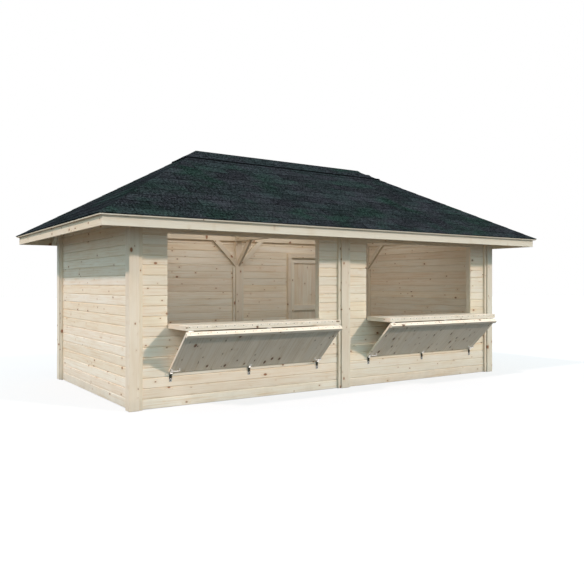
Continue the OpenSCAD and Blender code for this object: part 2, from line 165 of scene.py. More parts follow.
def slab_points(corners, thick, chamfer):
    """Points of boards with eased edges, 24 for each board.

    A board has four corners on its top face and one vector through its thickness. At each corner
    the top point is moved in by the chamfers of both edges that meet there, and two more points
    lie on the two sides, each as far down as its own chamfer."""
    normal = np.cross(corners[:, 1] - corners[:, 0], corners[:, 3] - corners[:, 0])
    wrong = (np.sum(normal * thick, -1) > 0)[:, None]
    corners = np.where(wrong[:, None], corners + thick[:, None], corners)
    thick = np.where(wrong, -thick, thick)
    edge = unit(np.roll(corners, -1, 1) - corners)
    before = np.roll(edge, 1, 1)
    own = np.broadcast_to(chamfer, corners.shape[:2])[..., None]
    other = np.roll(own, 1, 1)
    sine = np.linalg.norm(np.cross(before, edge), axis=-1, keepdims=True)
    inset = (edge * other - before * own) / sine
    points = []
    for level, down in ((corners, thick), (corners + thick[:, None], -thick)):
        step = unit(down)[:, None]
        kinds = (level + inset, level + edge * other + step * own, level - before * own + step * other)
        points.append(np.stack(kinds, 2))
    return np.stack(points, 1).reshape(-1, 24, 3)


def slab_faces():
    """The 18 four-sided and 8 three-sided faces of one board, as places in its 24 points."""

    def top(k, kind):
        return 3 * (k % 4) + kind

    def low(k, kind):
        return 12 + top(k, kind)

    quads = [[top(k, 0) for k in range(4)], [low(k, 0) for k in (3, 2, 1, 0)]]
    tris = []
    for k in range(4):
        quads.append([low(k, 1), low(k + 1, 2), top(k + 1, 2), top(k, 1)])
        quads.append([top(k, 1), top(k + 1, 2), top(k + 1, 0), top(k, 0)])
        quads.append([low(k, 0), low(k + 1, 0), low(k + 1, 2), low(k, 1)])
        quads.append([low(k, 2), low(k, 1), top(k, 1), top(k, 2)])
        tris.append([top(k, 2), top(k, 1), top(k, 0)])
        tris.append([low(k, 0), low(k, 1), low(k, 2)])
    return np.array(quads), np.array(tris)


SLAB_QUADS, SLAB_TRIS = slab_faces()


class Boards:
    """Boards that are joined in one piece. Each keeps its own grain, which runs along edge 0."""

    made = 0

    def __init__(self):
        self.points, self.grain, self.tone = [], [], []

    def add(self, corners, thick, chamfer=PLANED_EDGE, key=None, middle=None):
        """Adds boards: corners is (boards, 4, 3) and thick (boards, 3).

        A point's grain is its place along, across and through its board from the board's middle,
        moved by the random place of the tree's pith. Boards with one key and one middle are parts
        of one plank, so their grain runs on."""
        corners = np.asarray(corners, float).reshape(-1, 4, 3)
        thick = np.broadcast_to(thick, (len(corners), 3)).astype(float)
        if key is None:
            key = Boards.made + np.arange(len(corners))
            Boards.made += len(corners)
        if middle is None:
            middle = corners.mean(1) + thick / 2
        points = slab_points(corners, thick, np.maximum(chamfer, LEAST_CHAMFER))
        along = unit(corners[:, 1] - corners[:, 0])
        depth = unit(thick)
        across = unit(np.cross(depth, along))
        pith = [40 * hashed(key, 1), 0.10 * hashed(key, 2) - 0.05, 0.02 + 0.09 * hashed(key, 3)]
        axes = np.stack([along, across, depth], 1)
        local = np.einsum("nij,nkj->nki", axes, points - middle[:, None])
        local[..., 0] += np.sum(middle * along, -1)[:, None]
        self.points.append(points)
        self.grain.append(local + np.stack(pith, -1)[:, None])
        self.tone.append(np.repeat(hashed(key, 4)[:, None], 24, 1))
        return self

    def add_boxes(self, low, high, axis, **options):
        """Upright boards between low and high corners, with their grain along one axis."""
        low, high = (np.asarray(v, float).reshape(-1, 3) for v in (low, high))
        a, b, c = axis, (axis + 1) % 3, (axis + 2) % 3
        corners = np.empty((len(low), 4, 3))
        corners[..., a] = np.stack([low[:, a], high[:, a], high[:, a], low[:, a]], 1)
        corners[..., b] = np.stack([low[:, b], low[:, b], high[:, b], high[:, b]], 1)
        corners[..., c] = high[:, None, c]
        thick = np.zeros((len(low), 3))
        thick[:, c] = low[:, c] - high[:, c]
        return self.add(corners, thick, **options)

    def piece(self, name, material, slot, nodes=(), body="hut"):
        """Joins the boards in one piece."""
        points = np.concatenate(self.points)
        start = 24 * np.arange(len(points))[:, None, None]
        faces = [(SLAB_QUADS + start).reshape(-1, 4), (SLAB_TRIS + start).reshape(-1, 3)]
        grain, tone = np.concatenate(self.grain).reshape(-1, 3), np.concatenate(self.tone).ravel()
        new_piece(name, points.reshape(-1, 3), faces, material, nodes, grain, tone, body)


def mirrored(points, axes):
    """The points with one copy for each choice of sign on the named axes."""
    points = np.asarray(points, float)[None]
    for axis in axes:
        flip = np.ones(3)
        flip[axis] = -1
        points = np.concatenate([points, points * flip])
    return points


def mirrored_boxes(low, high, axes):
    """Lowest and highest corners of a box and its mirror images."""
    both = mirrored([low, high], axes)
    return both.min(1), both.max(1)


def lattice(rows, cols, wrap=False):
    """Four-sided faces of a grid of points. wrap joins the last column to the first."""
    row, col = np.meshgrid(np.arange(rows - 1), np.arange(cols if wrap else cols - 1), indexing="ij")
    after = (col + 1) % cols
    low, high = row * cols, (row + 1) * cols
    return np.stack([low + col, low + after, high + after, high + col], -1).reshape(-1, 4)


def closed_sheets(top, bottom):
    """Points and faces of closed plates, each between two grids of (plates, rows, columns, 3).

    A band of faces round the rim joins the upper grid to the lower one."""
    count, rows, cols = top.shape[:3]
    size = rows * cols
    index = np.arange(size).reshape(rows, cols)
    rim = np.concatenate([index[0, :-1], index[:-1, -1], index[-1, :0:-1], index[:0:-1, 0]])
    after = np.roll(rim, -1)
    upper = lattice(rows, cols)
    band = np.stack([rim + size, after + size, after, rim], -1)
    faces = np.concatenate([upper, upper[:, ::-1] + size, band])
    start = 2 * size * np.arange(count)[:, None, None]
    return np.stack([top, bottom], 1).reshape(-1, 3), (faces + start).reshape(-1, 4)


def circle(sides):
    """Cosine and sine of equal steps round a circle."""
    turn = np.linspace(0, 2 * np.pi, sides, endpoint=False)
    return np.cos(turn), np.sin(turn)


# A direction that no bar and no screw of the hut lies along
SLANT = np.array([0.123, 0.456, 0.881])


def square_axes(ahead):
    """Two unit directions square to each direction in ahead, the first one square to SLANT too."""
    side = unit(np.cross(ahead, SLANT))
    return side, np.cross(ahead, side)


def tube(path, radius, sides=12):
    """A round bar: a circle carried along a path of points, with a radius at each point.

    The circle lies square to the path's direction, and both ends are closed."""
    path = np.asarray(path, float)
    radius = np.broadcast_to(radius, len(path))
    side, up = square_axes(unit(np.gradient(path, axis=0)))
    cosine, sine = circle(sides)
    ring = cosine[None, :, None] * side[:, None] + sine[None, :, None] * up[:, None]
    points = (path[:, None] + radius[:, None, None] * ring).reshape(-1, 3)
    caps = np.stack([np.arange(sides)[::-1], (len(path) - 1) * sides + np.arange(sides)])
    return points, lattice(len(path), sides, wrap=True), caps


def domes(centres, normals, radius, height, sides=10):
    """Low round heads of screws and nails, as rings that narrow while they rise.

    The first ring lies a little way inside the surface."""
    centres, normals = (np.asarray(v, float).reshape(-1, 3) for v in (centres, normals))
    normals = unit(np.broadcast_to(normals, centres.shape))
    side, up = square_axes(normals)
    cosine, sine = circle(sides)
    share = np.array([1.0, 1.0, 0.7, 0.25])
    lift = height * np.array([-0.5, 0.35, 0.75, 1.0])
    ring = cosine[:, None] * side[:, None, None] + sine[:, None] * up[:, None, None]
    points = (centres[:, None, None] + radius * share[:, None, None] * ring
              + lift[:, None, None] * normals[:, None, None])
    rows = len(share)
    start = rows * sides * np.arange(len(centres))[:, None, None]
    caps = np.stack([np.arange(sides)[::-1], (rows - 1) * sides + np.arange(sides)])
    quads = lattice(rows, sides, wrap=True)
    return points.reshape(-1, 3), (quads + start).reshape(-1, 4), (caps + start).reshape(-1, sides)


class Metalwork:
    """Bars, plates and screw heads that are joined in one piece."""

    def __init__(self):
        self.points, self.faces, self.count = [], [], 0

    def add(self, points, *faces):
        """Adds points and the arrays of faces between them."""
        points = np.asarray(points, float).reshape(-1, 3)
        self.points.append(points)
        self.faces += [np.asarray(f) + self.count for f in faces]
        self.count += len(points)
        return self

    def bar(self, path, radius, sides=12):
        """Adds a round bar along a path, with one radius or a radius at each point."""
        return self.add(*tube(path, radius, sides))

    def plate(self, corners, thick, chamfer=0.0006):
        """Adds a plate with four corners on one face and a vector through its thickness."""
        corners = np.asarray(corners, float).reshape(-1, 4, 3)
        points = slab_points(corners, np.asarray(thick, float).reshape(-1, 3), np.full(1, chamfer))
        start = 24 * np.arange(len(points))[:, None, None]
        return self.add(points, (SLAB_QUADS + start).reshape(-1, 4), (SLAB_TRIS + start).reshape(-1, 3))

    def box(self, low, high, chamfer=0.0006):
        """Adds a plate that fills the box between its lowest and highest corner."""
        low, high = np.asarray(low, float), np.asarray(high, float)
        corners = [[low[0], low[1], high[2]], [high[0], low[1], high[2]],
                   [high[0], high[1], high[2]], [low[0], high[1], high[2]]]
        return self.plate([corners], [0, 0, low[2] - high[2]], chamfer)

    def screws(self, centres, normals, radius=0.0045, height=0.0016):
        """Adds a low round head at each centre."""
        return self.add(*domes(centres, normals, radius, height))

    def piece(self, name, material, nodes=(), body="hut"):
        """Joins everything in one piece, with the material given. Faces with as many corners go together."""
        points = np.concatenate(self.points)
        sizes = sorted({f.shape[1] for f in self.faces})
        faces = [np.concatenate([f for f in self.faces if f.shape[1] == size]) for size in sizes]
        tone = np.full(len(points), 0.5)
        new_piece(name, points, faces, material, nodes, points, tone, body)


# ---------- material helpers ----------


def linear(red, green, blue):
    """A colour given in sRGB steps of 255 as the linear colour that the shaders use."""
    c = np.array([red, green, blue]) / 255
    return (*np.where(c < 0.04045, c / 12.92, ((c + 0.055) / 1.055) ** 2.4), 1.0)


class Graph:
    """Short names for the nodes of a material or of a node group."""

    def __init__(self, tree):
        self.tree = tree

    def node(self, kind, **settings):
        """A new node with its settings."""
        made = self.tree.nodes.new(kind)
        for name, value in settings.items():
            setattr(made, name, value)
        return made

    def put(self, socket, value):
        """Links value to a socket, or writes it there."""
        if isinstance(value, bpy.types.NodeSocket):
            self.tree.links.new(value, socket)
        elif value is not None:
            socket.default_value = value

    def math(self, operation, *values):
        """A sum, product or other operation on numbers."""
        made = self.node("ShaderNodeMath", operation=operation)
        for socket, value in zip(made.inputs, values):
            self.put(socket, value)
        return made.outputs[0]

    def vector(self, operation, *values):
        """An operation on vectors."""
        made = self.node("ShaderNodeVectorMath", operation=operation)
        for socket, value in zip(made.inputs, values):
            self.put(socket, value)
        return made.outputs["Value" if operation == "LENGTH" else "Vector"]

    def scaled(self, vector, x, y, z):
        """The vector with each part multiplied by its own number."""
        return self.vector("MULTIPLY", vector, (x, y, z))

    def split(self, vector):
        """The three parts of a vector."""
        made = self.node("ShaderNodeSeparateXYZ")
        self.put(made.inputs[0], vector)
        return made.outputs

    def noise(self, vector, scale, detail=2.0, roughness=0.5):
        """Smooth noise around one half."""
        made = self.node("ShaderNodeTexNoise")
        self.put(made.inputs["Vector"], vector)
        made.inputs["Scale"].default_value = scale
        made.inputs["Detail"].default_value = detail
        made.inputs["Roughness"].default_value = roughness
        return made.outputs["Fac"]

    def cells(self, vector, scale):
        """A Voronoi node and three random shares for each of its cells."""
        made = self.node("ShaderNodeTexVoronoi", voronoi_dimensions="3D", feature="F1")
        self.put(made.inputs["Vector"], vector)
        made.inputs["Scale"].default_value = scale
        pick = self.node("ShaderNodeSeparateColor")
        self.put(pick.inputs[0], made.outputs["Color"])
        return made, pick.outputs

    def band(self, value, low, high):
        """Smooth step of value, 0 at low and 1 at high."""
        made = self.node("ShaderNodeMapRange", interpolation_type="SMOOTHSTEP")
        for socket, v in zip(made.inputs, (value, low, high, 0.0, 1.0)):
            self.put(socket, v)
        return made.outputs[0]

    def mix(self, factor, a, b, blend="MIX"):
        """Two colours blended by factor."""
        made = self.node("ShaderNodeMix", data_type="RGBA", blend_type=blend, clamp_factor=True)
        self.put(made.inputs[0], factor)
        self.put(made.inputs[6], a)
        self.put(made.inputs[7], b)
        return made.outputs[2]

    def dimmed(self, colour, level):
        """The colour multiplied by a level."""
        grey = self.node("ShaderNodeCombineColor")
        for socket in grey.inputs:
            self.put(socket, level)
        return self.mix(1.0, colour, grey.outputs[0], "MULTIPLY")


def new_group(name, inputs, outputs):
    """An empty node group as its graph, its input sockets by name and its output node's sockets."""
    tree = bpy.data.node_groups.new(name, "ShaderNodeTree")
    for label, kind, value in inputs:
        made = tree.interface.new_socket(name=label, in_out="INPUT", socket_type="NodeSocket" + kind)
        if value is not None:
            made.default_value = value
    for label, kind in outputs:
        tree.interface.new_socket(name=label, in_out="OUTPUT", socket_type="NodeSocket" + kind)
    graph = Graph(tree)
    entry = graph.node("NodeGroupInput")
    return graph, entry.outputs, graph.node("NodeGroupOutput").inputs


def knots_in(g, grain, share, size):
    """Knots as three values: how far out of a knot a point lies, its mask, and its halo's mask.

    Space is cut into cells longer along the grain. Some cells hold a knot, whose radius grows with
    the cube of the cell's random share, and whose rim is made ragged by fine noise."""
    stretch = (2.6, 11.0, 11.0)
    coords = g.scaled(grain, *stretch)
    cells, pick = g.cells(coords, 1.0)
    away = g.scaled(g.vector("SUBTRACT", coords, cells.outputs["Position"]), *[1 / s for s in stretch])
    distance = g.vector("LENGTH", g.scaled(away, 0.62, 1.0, 0.25))
    present = g.math("LESS_THAN", pick[0], share)
    radius = g.math("MULTIPLY_ADD", g.math("POWER", pick[1], 3.0), 0.011, 0.0052)
    radius = g.math("MULTIPLY", radius, size)
    ragged = g.math("MULTIPLY_ADD", g.noise(grain, 260.0, 2.0), 0.004, -0.002)
    reach = g.math("DIVIDE", g.math("ADD", distance, ragged), radius)
    knot = g.math("MULTIPLY", g.band(reach, 1.2, 0.6), present)
    halo = g.math("MULTIPLY", g.band(reach, 3.4, 1.0), present)
    return reach, knot, halo


def late_wood(g, grain, halo):
    """Dark late wood of the growth rings: a sine of the distance from the pith, which wanders."""
    parts = g.split(grain)
    wander = g.noise(g.scaled(grain, 1.1, 5.0, 5.0), 1.0, 2.0)
    pith = g.math("SQRT", g.math("ADD", g.math("POWER", parts[1], 2.0), g.math("POWER", parts[2], 2.0)))
    bent = g.math("MULTIPLY_ADD", wander, 0.016, pith)
    bent = g.math("MULTIPLY_ADD", halo, 0.004, bent)
    wave = g.math("SINE", g.math("MULTIPLY", bent, 2 * math.pi / 0.0042))
    return g.band(wave, 0.1, 1.0)


def wood_group():
    """Softwood: growth rings round a pith, darker streaks, knots with turned grain, and board tone."""
    g, given, out = new_group(
        "softwood",
        [("Grain", "Vector", None), ("Tone", "Float", 0.5), ("Pale", "Color", (0.8, 0.7, 0.55, 1)),
         ("Warm", "Color", (0.7, 0.5, 0.3, 1)), ("Knot", "Color", (0.3, 0.13, 0.05, 1)),
         ("Knot share", "Float", 0.5), ("Knot size", "Float", 1.0), ("Tone spread", "Float", 0.1),
         ("Streaks", "Float", 0.3), ("Rings", "Float", 0.25), ("Hue spread", "Float", 0.5)],
        [("Color", "Color"), ("Roughness", "Float"), ("Height", "Float")])
    grain = given["Grain"]
    reach, knot, halo = knots_in(g, grain, given["Knot share"], given["Knot size"])
    late = late_wood(g, grain, halo)
    streak = g.noise(g.scaled(grain, 1.6, 60.0, 60.0), 1.0, 3.0, 0.6)
    cloud = g.noise(g.scaled(grain, 1.0, 3.0, 3.0), 2.4, 3.0, 0.55)
    fibre = g.noise(g.scaled(grain, 30.0, 900.0, 900.0), 1.0, 2.0)

    shade = g.math("MULTIPLY", g.band(streak, 0.46, 0.7), given["Streaks"])
    shade = g.math("MULTIPLY_ADD", late, given["Rings"], shade)
    shade = g.math("MULTIPLY_ADD", g.band(cloud, 0.35, 0.75), 0.25, shade)
    shade = g.math("MULTIPLY_ADD", halo, 0.25, shade)
    colour = g.mix(shade, given["Pale"], given["Warm"])
    level = g.math("MULTIPLY", g.math("SUBTRACT", given["Tone"], 0.5), given["Tone spread"])
    level = g.math("ADD", level, g.math("MULTIPLY_ADD", fibre, 0.06, 0.97))
    colour = g.dimmed(colour, level)

    hue = g.math("FRACT", g.math("MULTIPLY", given["Tone"], 7.31))
    blush = g.math("MULTIPLY", g.band(hue, 0.55, 0.85), given["Hue spread"])
    straw = g.math("MULTIPLY", g.band(hue, 0.3, 0.05), given["Hue spread"])
    colour = g.mix(blush, colour, g.mix(1.0, colour, (0.98, 0.895, 0.84, 1), "MULTIPLY"))
    colour = g.mix(straw, colour, g.mix(1.0, colour, (0.985, 0.895, 0.765, 1), "MULTIPLY"))
    rim = g.math("MULTIPLY", g.band(reach, 0.55, 1.0), 0.5)
    dark = g.mix(rim, given["Knot"], given["Warm"])
    g.put(out["Color"], g.mix(g.math("MULTIPLY", knot, 0.92), colour, dark))
    g.put(out["Roughness"], g.math("MULTIPLY_ADD", late, -0.08, g.math("MULTIPLY_ADD", fibre, 0.12, 0.6)))
    height = g.math("MULTIPLY_ADD", late, 0.35, g.math("MULTIPLY", fibre, 0.4))
    g.put(out["Height"], g.math("MULTIPLY_ADD", knot, 0.5, height))
    return g.tree


def weather_group():
    """Soft dirt: a mask that is stronger near the ground and in slow patches."""
    g, given, out = new_group(
        "ground_dirt", [("Position", "Vector", None), ("Reach", "Float", 0.25)], [("Mask", "Float")])
    parts = g.split(given["Position"])
    patch = g.noise(given["Position"], 5.0, 4.0, 0.6)
    edge = g.math("MULTIPLY", given["Reach"], g.math("ADD", patch, 0.2))
    g.put(out["Mask"], g.math("MULTIPLY", g.band(g.math("DIVIDE", parts[2], edge), 1.0, 0.0), patch))
    return g.tree


def granule_group():
    """Mineral granules: slow patches of two shades, a tone for each shingle, and coarse grains.

    Faces that don't look up with the slope are cut edges, so they take a near-black colour instead. It is
    partly bitumen's own colour where no granules are, and partly painted shadow that stands for the dark gap
    under the lifted lower edges of the ridge cap and the courses."""
    g, given, out = new_group(
        "mineral_granules",
        [("Grain", "Vector", None), ("Tone", "Float", 0.5), ("Slate", "Color", (0.03, 0.04, 0.04, 1)),
         ("Green", "Color", (0.02, 0.045, 0.035, 1)), ("Violet", "Color", (0.04, 0.04, 0.05, 1)),
         ("Cut", "Color", (0.006, 0.007, 0.008, 1)), ("Tone spread", "Float", 0.5),
         ("Facing", "Vector", None)],
        [("Color", "Color"), ("Roughness", "Float"), ("Height", "Float")])
    grain = given["Grain"]
    slow = g.noise(g.vector("ADD", g.scaled(grain, 1.3, 1.8, 1.0), (17.0, 3.0, 0.0)), 1.0, 2.0)
    other = g.noise(g.vector("ADD", g.scaled(grain, 2.0, 2.6, 1.0), (31.0, 7.0, 0.0)), 1.0, 2.0)
    green = g.band(g.math("MULTIPLY_ADD", given["Tone"], 0.05, slow), 0.43, 0.72)
    violet = g.band(g.math("MULTIPLY_ADD", given["Tone"], -0.05, other), 0.34, 0.60)
    colour = g.mix(green, given["Slate"], given["Green"])
    colour = g.mix(g.math("MULTIPLY", violet, 0.7), colour, given["Violet"])
    cells, pick = g.cells(grain, 420.0)
    clump = g.noise(g.scaled(grain, 46.0, 27.0, 20.0), 1.0, 2.0, 0.7)
    cloud = g.noise(grain, 8.0, 3.0, 0.6)
    level = g.math("MULTIPLY", g.math("SUBTRACT", given["Tone"], 0.5), given["Tone spread"])
    level = g.math("ADD", level, g.math("MULTIPLY_ADD", pick[0], 0.9, 0.55))
    level = g.math("ADD", level, g.math("MULTIPLY_ADD", clump, 6.0, -3.0))
    level = g.math("ADD", level, g.math("MULTIPLY_ADD", cloud, 1.4, -0.7))
    colour = g.dimmed(colour, g.math("MAXIMUM", level, 0.2))
    # Painted shadow in part: the upright rims turn near-black, as bitumen without granules is, and as the
    # shaded gap under a lifted edge looks.
    cut = g.band(g.split(given["Facing"])[2], 0.75, 0.6)
    g.put(out["Color"], g.mix(cut, colour, given["Cut"]))
    g.put(out["Roughness"], g.math("MULTIPLY_ADD", pick[1], 0.2, 0.72))
    g.put(out["Height"], g.math("SUBTRACT", 1.0, cells.outputs["Distance"]))
    return g.tree


def zinc_group():
    """Spangled metal: a tone for each crystal, dull patches in the roughness and fine scratches."""
    g, given, out = new_group(
        "metal_spangle",
        [("Position", "Vector", None), ("Metal", "Color", (0.75, 0.75, 0.73, 1)), ("Dullness", "Float", 0.3)],
        [("Color", "Color"), ("Roughness", "Float"), ("Height", "Float")])
    place = given["Position"]
    pick = g.cells(place, 160.0)[1]
    dull = g.noise(place, 45.0, 4.0, 0.6)
    g.put(out["Color"], g.dimmed(given["Metal"], g.math("MULTIPLY_ADD", pick[0], 0.14, 0.86)))
    g.put(out["Roughness"], g.math("MULTIPLY_ADD", dull, 0.25, given["Dullness"]))
    g.put(out["Height"], g.noise(place, 380.0, 3.0))
    return g.tree


WOOD, DIRT, GRANULES, SPANGLE = wood_group(), weather_group(), granule_group(), zinc_group()


def new_material(name):
    """A material, its graph and its Principled shader, linked to the output."""
    material = bpy.data.materials.new(name)
    material.use_nodes = True
    material.node_tree.nodes.clear()
    g = Graph(material.node_tree)
    shader = g.node("ShaderNodeBsdfPrincipled")
    output = g.node("ShaderNodeOutputMaterial")
    material.node_tree.links.new(shader.outputs[0], output.inputs["Surface"])
    return material, g, shader


def bumped(g, shader, height, distance, strength=0.5):
    """Feeds a height to the shader's normal."""
    bump = g.node("ShaderNodeBump")
    bump.inputs["Strength"].default_value = strength
    bump.inputs["Distance"].default_value = distance
    g.put(bump.inputs["Height"], height)
    g.put(shader.inputs["Normal"], bump.outputs["Normal"])


def attribute(g, name, output):
    """What a piece's own attribute holds."""
    return g.node("ShaderNodeAttribute", attribute_name=name).outputs[output]


def group_node(g, tree, **values):
    """A node group placed in a material, with its own values. Underscores stand for spaces."""
    made = g.node("ShaderNodeGroup", node_tree=tree)
    for name, value in values.items():
        g.put(made.inputs[name.replace("_", " ")], value)
    return made.outputs


def wood(name, dirt, **values):
    """Raw softwood that follows each board's grain, with dirt towards the ground."""
    material, g, shader = new_material(name)
    look = group_node(g, WOOD, Grain=attribute(g, "grain", "Vector"), Tone=attribute(g, "tone", "Fac"),
                      **values)
    place = g.node("ShaderNodeTexCoord").outputs["Object"]
    stain = group_node(g, DIRT, Position=place)["Mask"]
    colour = g.mix(g.math("MULTIPLY", stain, dirt), look["Color"], linear(120, 108, 88))
    g.put(shader.inputs["Base Color"], colour)
    g.put(shader.inputs["Roughness"], look["Roughness"])
    shader.inputs["Specular IOR Level"].default_value = 0.25
    bumped(g, shader, look["Height"], 0.0004)
    return material


def raw_planks():
    """Pale spruce of the walls and the door, with many knots and a hue of its own for each plank."""
    return wood("raw_planks", 0.3, Pale=linear(250, 240, 221), Warm=linear(230, 204, 168),
                Knot=linear(146, 92, 56), Knot_share=0.62, Knot_size=1.15, Tone_spread=0.11,
                Streaks=0.42, Rings=0.25, Hue_spread=0.5)


def planed_timber():
    """Calmer planed spruce of the posts, beams, battens and fascias."""
    return wood("planed_timber", 0.3, Pale=linear(240, 229, 209), Warm=linear(221, 200, 168),
                Knot=linear(150, 92, 56), Knot_share=0.85, Knot_size=1.5, Tone_spread=0.06,
                Streaks=0.22, Rings=0.1, Hue_spread=0.5)


def leaf_boards():
    """Boards of the folding leaves, with darker knots, strong streaks and one even hue."""
    return wood("leaf_boards", 0.0, Pale=linear(240, 230, 213), Warm=linear(214, 195, 164),
                Knot=linear(104, 68, 46), Knot_share=0.85, Knot_size=1.5, Tone_spread=0.09,
                Streaks=0.5, Rings=0.15, Hue_spread=0.05)


def roof_boards():
    """Boards under the shingles, seen from below."""
    return wood("roof_boards", 0.0, Pale=linear(238, 227, 208), Warm=linear(220, 198, 166),
                Knot=linear(140, 88, 52), Knot_share=0.5, Knot_size=1.0, Tone_spread=0.12,
                Streaks=0.3, Rings=0.25, Hue_spread=0.5)


def granules(name, tone_spread):
    """Gritted bitumen with dull grains that hardly shine."""
    material, g, shader = new_material(name)
    look = group_node(g, GRANULES, Grain=attribute(g, "grain", "Vector"), Tone=attribute(g, "tone", "Fac"),
                      Slate=linear(37, 44, 45), Green=linear(31, 46, 41), Violet=linear(43, 43, 48),
                      Tone_spread=tone_spread,
                      Facing=g.node("ShaderNodeNewGeometry").outputs["True Normal"])
    g.put(shader.inputs["Base Color"], look["Color"])
    g.put(shader.inputs["Roughness"], look["Roughness"])
    shader.inputs["Specular IOR Level"].default_value = 0.0
    bumped(g, shader, look["Height"], 0.0012, 0.6)
    return material


def gritted_shingle():
    """Shingle tabs, each with a tone of its own."""
    return granules("gritted_shingle", 0.6)


def gritted_felt():
    """Felt of the ridge cap, in one tone."""
    return granules("gritted_felt", 0.0)


def metal(name, colour, dullness):
    """Steel with a spangled skin and small scratches."""
    material, g, shader = new_material(name)
    place = g.node("ShaderNodeTexCoord").outputs["Object"]
    look = group_node(g, SPANGLE, Position=place, Metal=colour, Dullness=dullness)
    g.put(shader.inputs["Base Color"], look["Color"])
    g.put(shader.inputs["Roughness"], look["Roughness"])
    shader.inputs["Metallic"].default_value = 0.85
    bumped(g, shader, look["Height"], 0.0002, 0.4)
    return material


def galvanised_steel():
    """Pale zinc of the hinges, latches, handles and levers."""
    return metal("galvanised_steel", linear(226, 226, 222), 0.3)


def oiled_steel():
    """Dark steel of the hasps and the nail heads."""
    return metal("oiled_steel", linear(58, 58, 50), 0.4)


PLANKS = raw_planks()
TIMBER = planed_timber()
LEAF = leaf_boards()
ROOFBOARD = roof_boards()
SHINGLE = gritted_shingle()
FELT = gritted_felt()
ZINC = galvanised_steel()
STEEL = oiled_steel()

# ---------- timber frame ----------

# Eased edge of posts, plates and the tie beam
POST_EDGE = 0.004
# Width of a brace, square to its length
BRACE_W = 0.08
# Thickness of a brace
BRACE_T = 0.045


def timber(name, node, low, high, axis, edge=PLANED_EDGE):
    """Planed pieces between low and high corners, in one piece that stands for a CAD node."""
    Boards().add_boxes(low, high, axis, chamfer=edge).piece(name, TIMBER, "planed_timber", [node])


def timber_frame():
    """Posts, plates and the tie beam, each one box and its mirror images."""
    low, high = mirrored_boxes([-HALF_L, -HALF_W, 0], [-HALF_L + POST, -HALF_W + POST, WALL_H], (0, 1))
    timber("corner_posts_planed", "corner_posts", low, high, 2, POST_EDGE)
    low, high = mirrored_boxes([-POST / 2, -HALF_W, 0], [POST / 2, -HALF_W + POST, WALL_H], (1,))
    timber("middle_posts_planed", "middle_posts", low, high, 2, POST_EDGE)
    low, high = mirrored_boxes([-HALF_L, -HALF_W, WALL_H], [HALF_L, -HALF_W + POST, PLATE_TOP], (1,))
    timber("long_plates_planed", "long_plates", low, high, 0, POST_EDGE)
    start, end = -HALF_W + POST, HALF_W - POST
    low, high = mirrored_boxes([-HALF_L, start, WALL_H], [-HALF_L + POST, end, PLATE_TOP], (0,))
    timber("short_plates_planed", "short_plates", low, high, 1, POST_EDGE)
    low, high = [-POST / 2, start, WALL_H], [POST / 2, end, PLATE_TOP]
    timber("tie_beam_planed", "tie_beam", low, high, 1, POST_EDGE)


def brace_corners(foot, out):
    """Four corners of a brace that rises at 45 degrees from its foot on a post to the plate.

    foot is the post's face at ground level and out the level direction away from it. The cut ends
    are as long as the width times the root of two."""
    leg = BRACE_HIGH[2] - BRACE_LOW[2]
    end = BRACE_W * math.sqrt(2)
    foot, out = np.array(foot, float), np.array(out, float)
    low = foot + (WALL_H - leg) * UP
    head = foot + leg * out + WALL_H * UP
    return [low, head, head - end * out, low + end * UP]


def braces():
    """Braces from the posts to the plates, in the back wall, the side walls and on the tie beam."""
    inner_y, inner_x = HALF_W - POST, HALF_L - POST
    walls = Boards()
    for side in (-1, 1):
        for foot in (-side * inner_x, side * POST / 2):
            walls.add([brace_corners([foot, inner_y, 0], [side, 0, 0])], [0, BRACE_T, 0])
    for side_x in (-1, 1):
        for side_y in (-1, 1):
            corners = brace_corners([side_x * inner_x, side_y * inner_y, 0], [0, -side_y, 0])
            walls.add([corners], [side_x * BRACE_T, 0, 0])
    walls.piece("wall_braces_planed", TIMBER, "planed_timber", ["wall_braces"])
    ties = Boards()
    for side_y in (-1, 1):
        ties.add([brace_corners([-BRACE_T / 2, side_y * inner_y, 0], [0, -side_y, 0])], [BRACE_T, 0, 0])
    ties.piece("tie_braces_planed", TIMBER, "planed_timber", ["tie_braces"])


# ---------- plank walls ----------

# Chamfers of a plank's upper and lower edge
PLANK_TOP_BEVEL = 0.0072
PLANK_FOOT_BEVEL = 0.003
# Open slot between two planks, and the thickness of the tongue behind it
PLANK_SLOT = 0.005
PLANK_CORE = 0.006
# How far a tongue stays inside a cut end or edge of its plank
CORE_INSET = 0.0005
# A cut plank lower than this is left out
LEAST_PLANK = 0.003


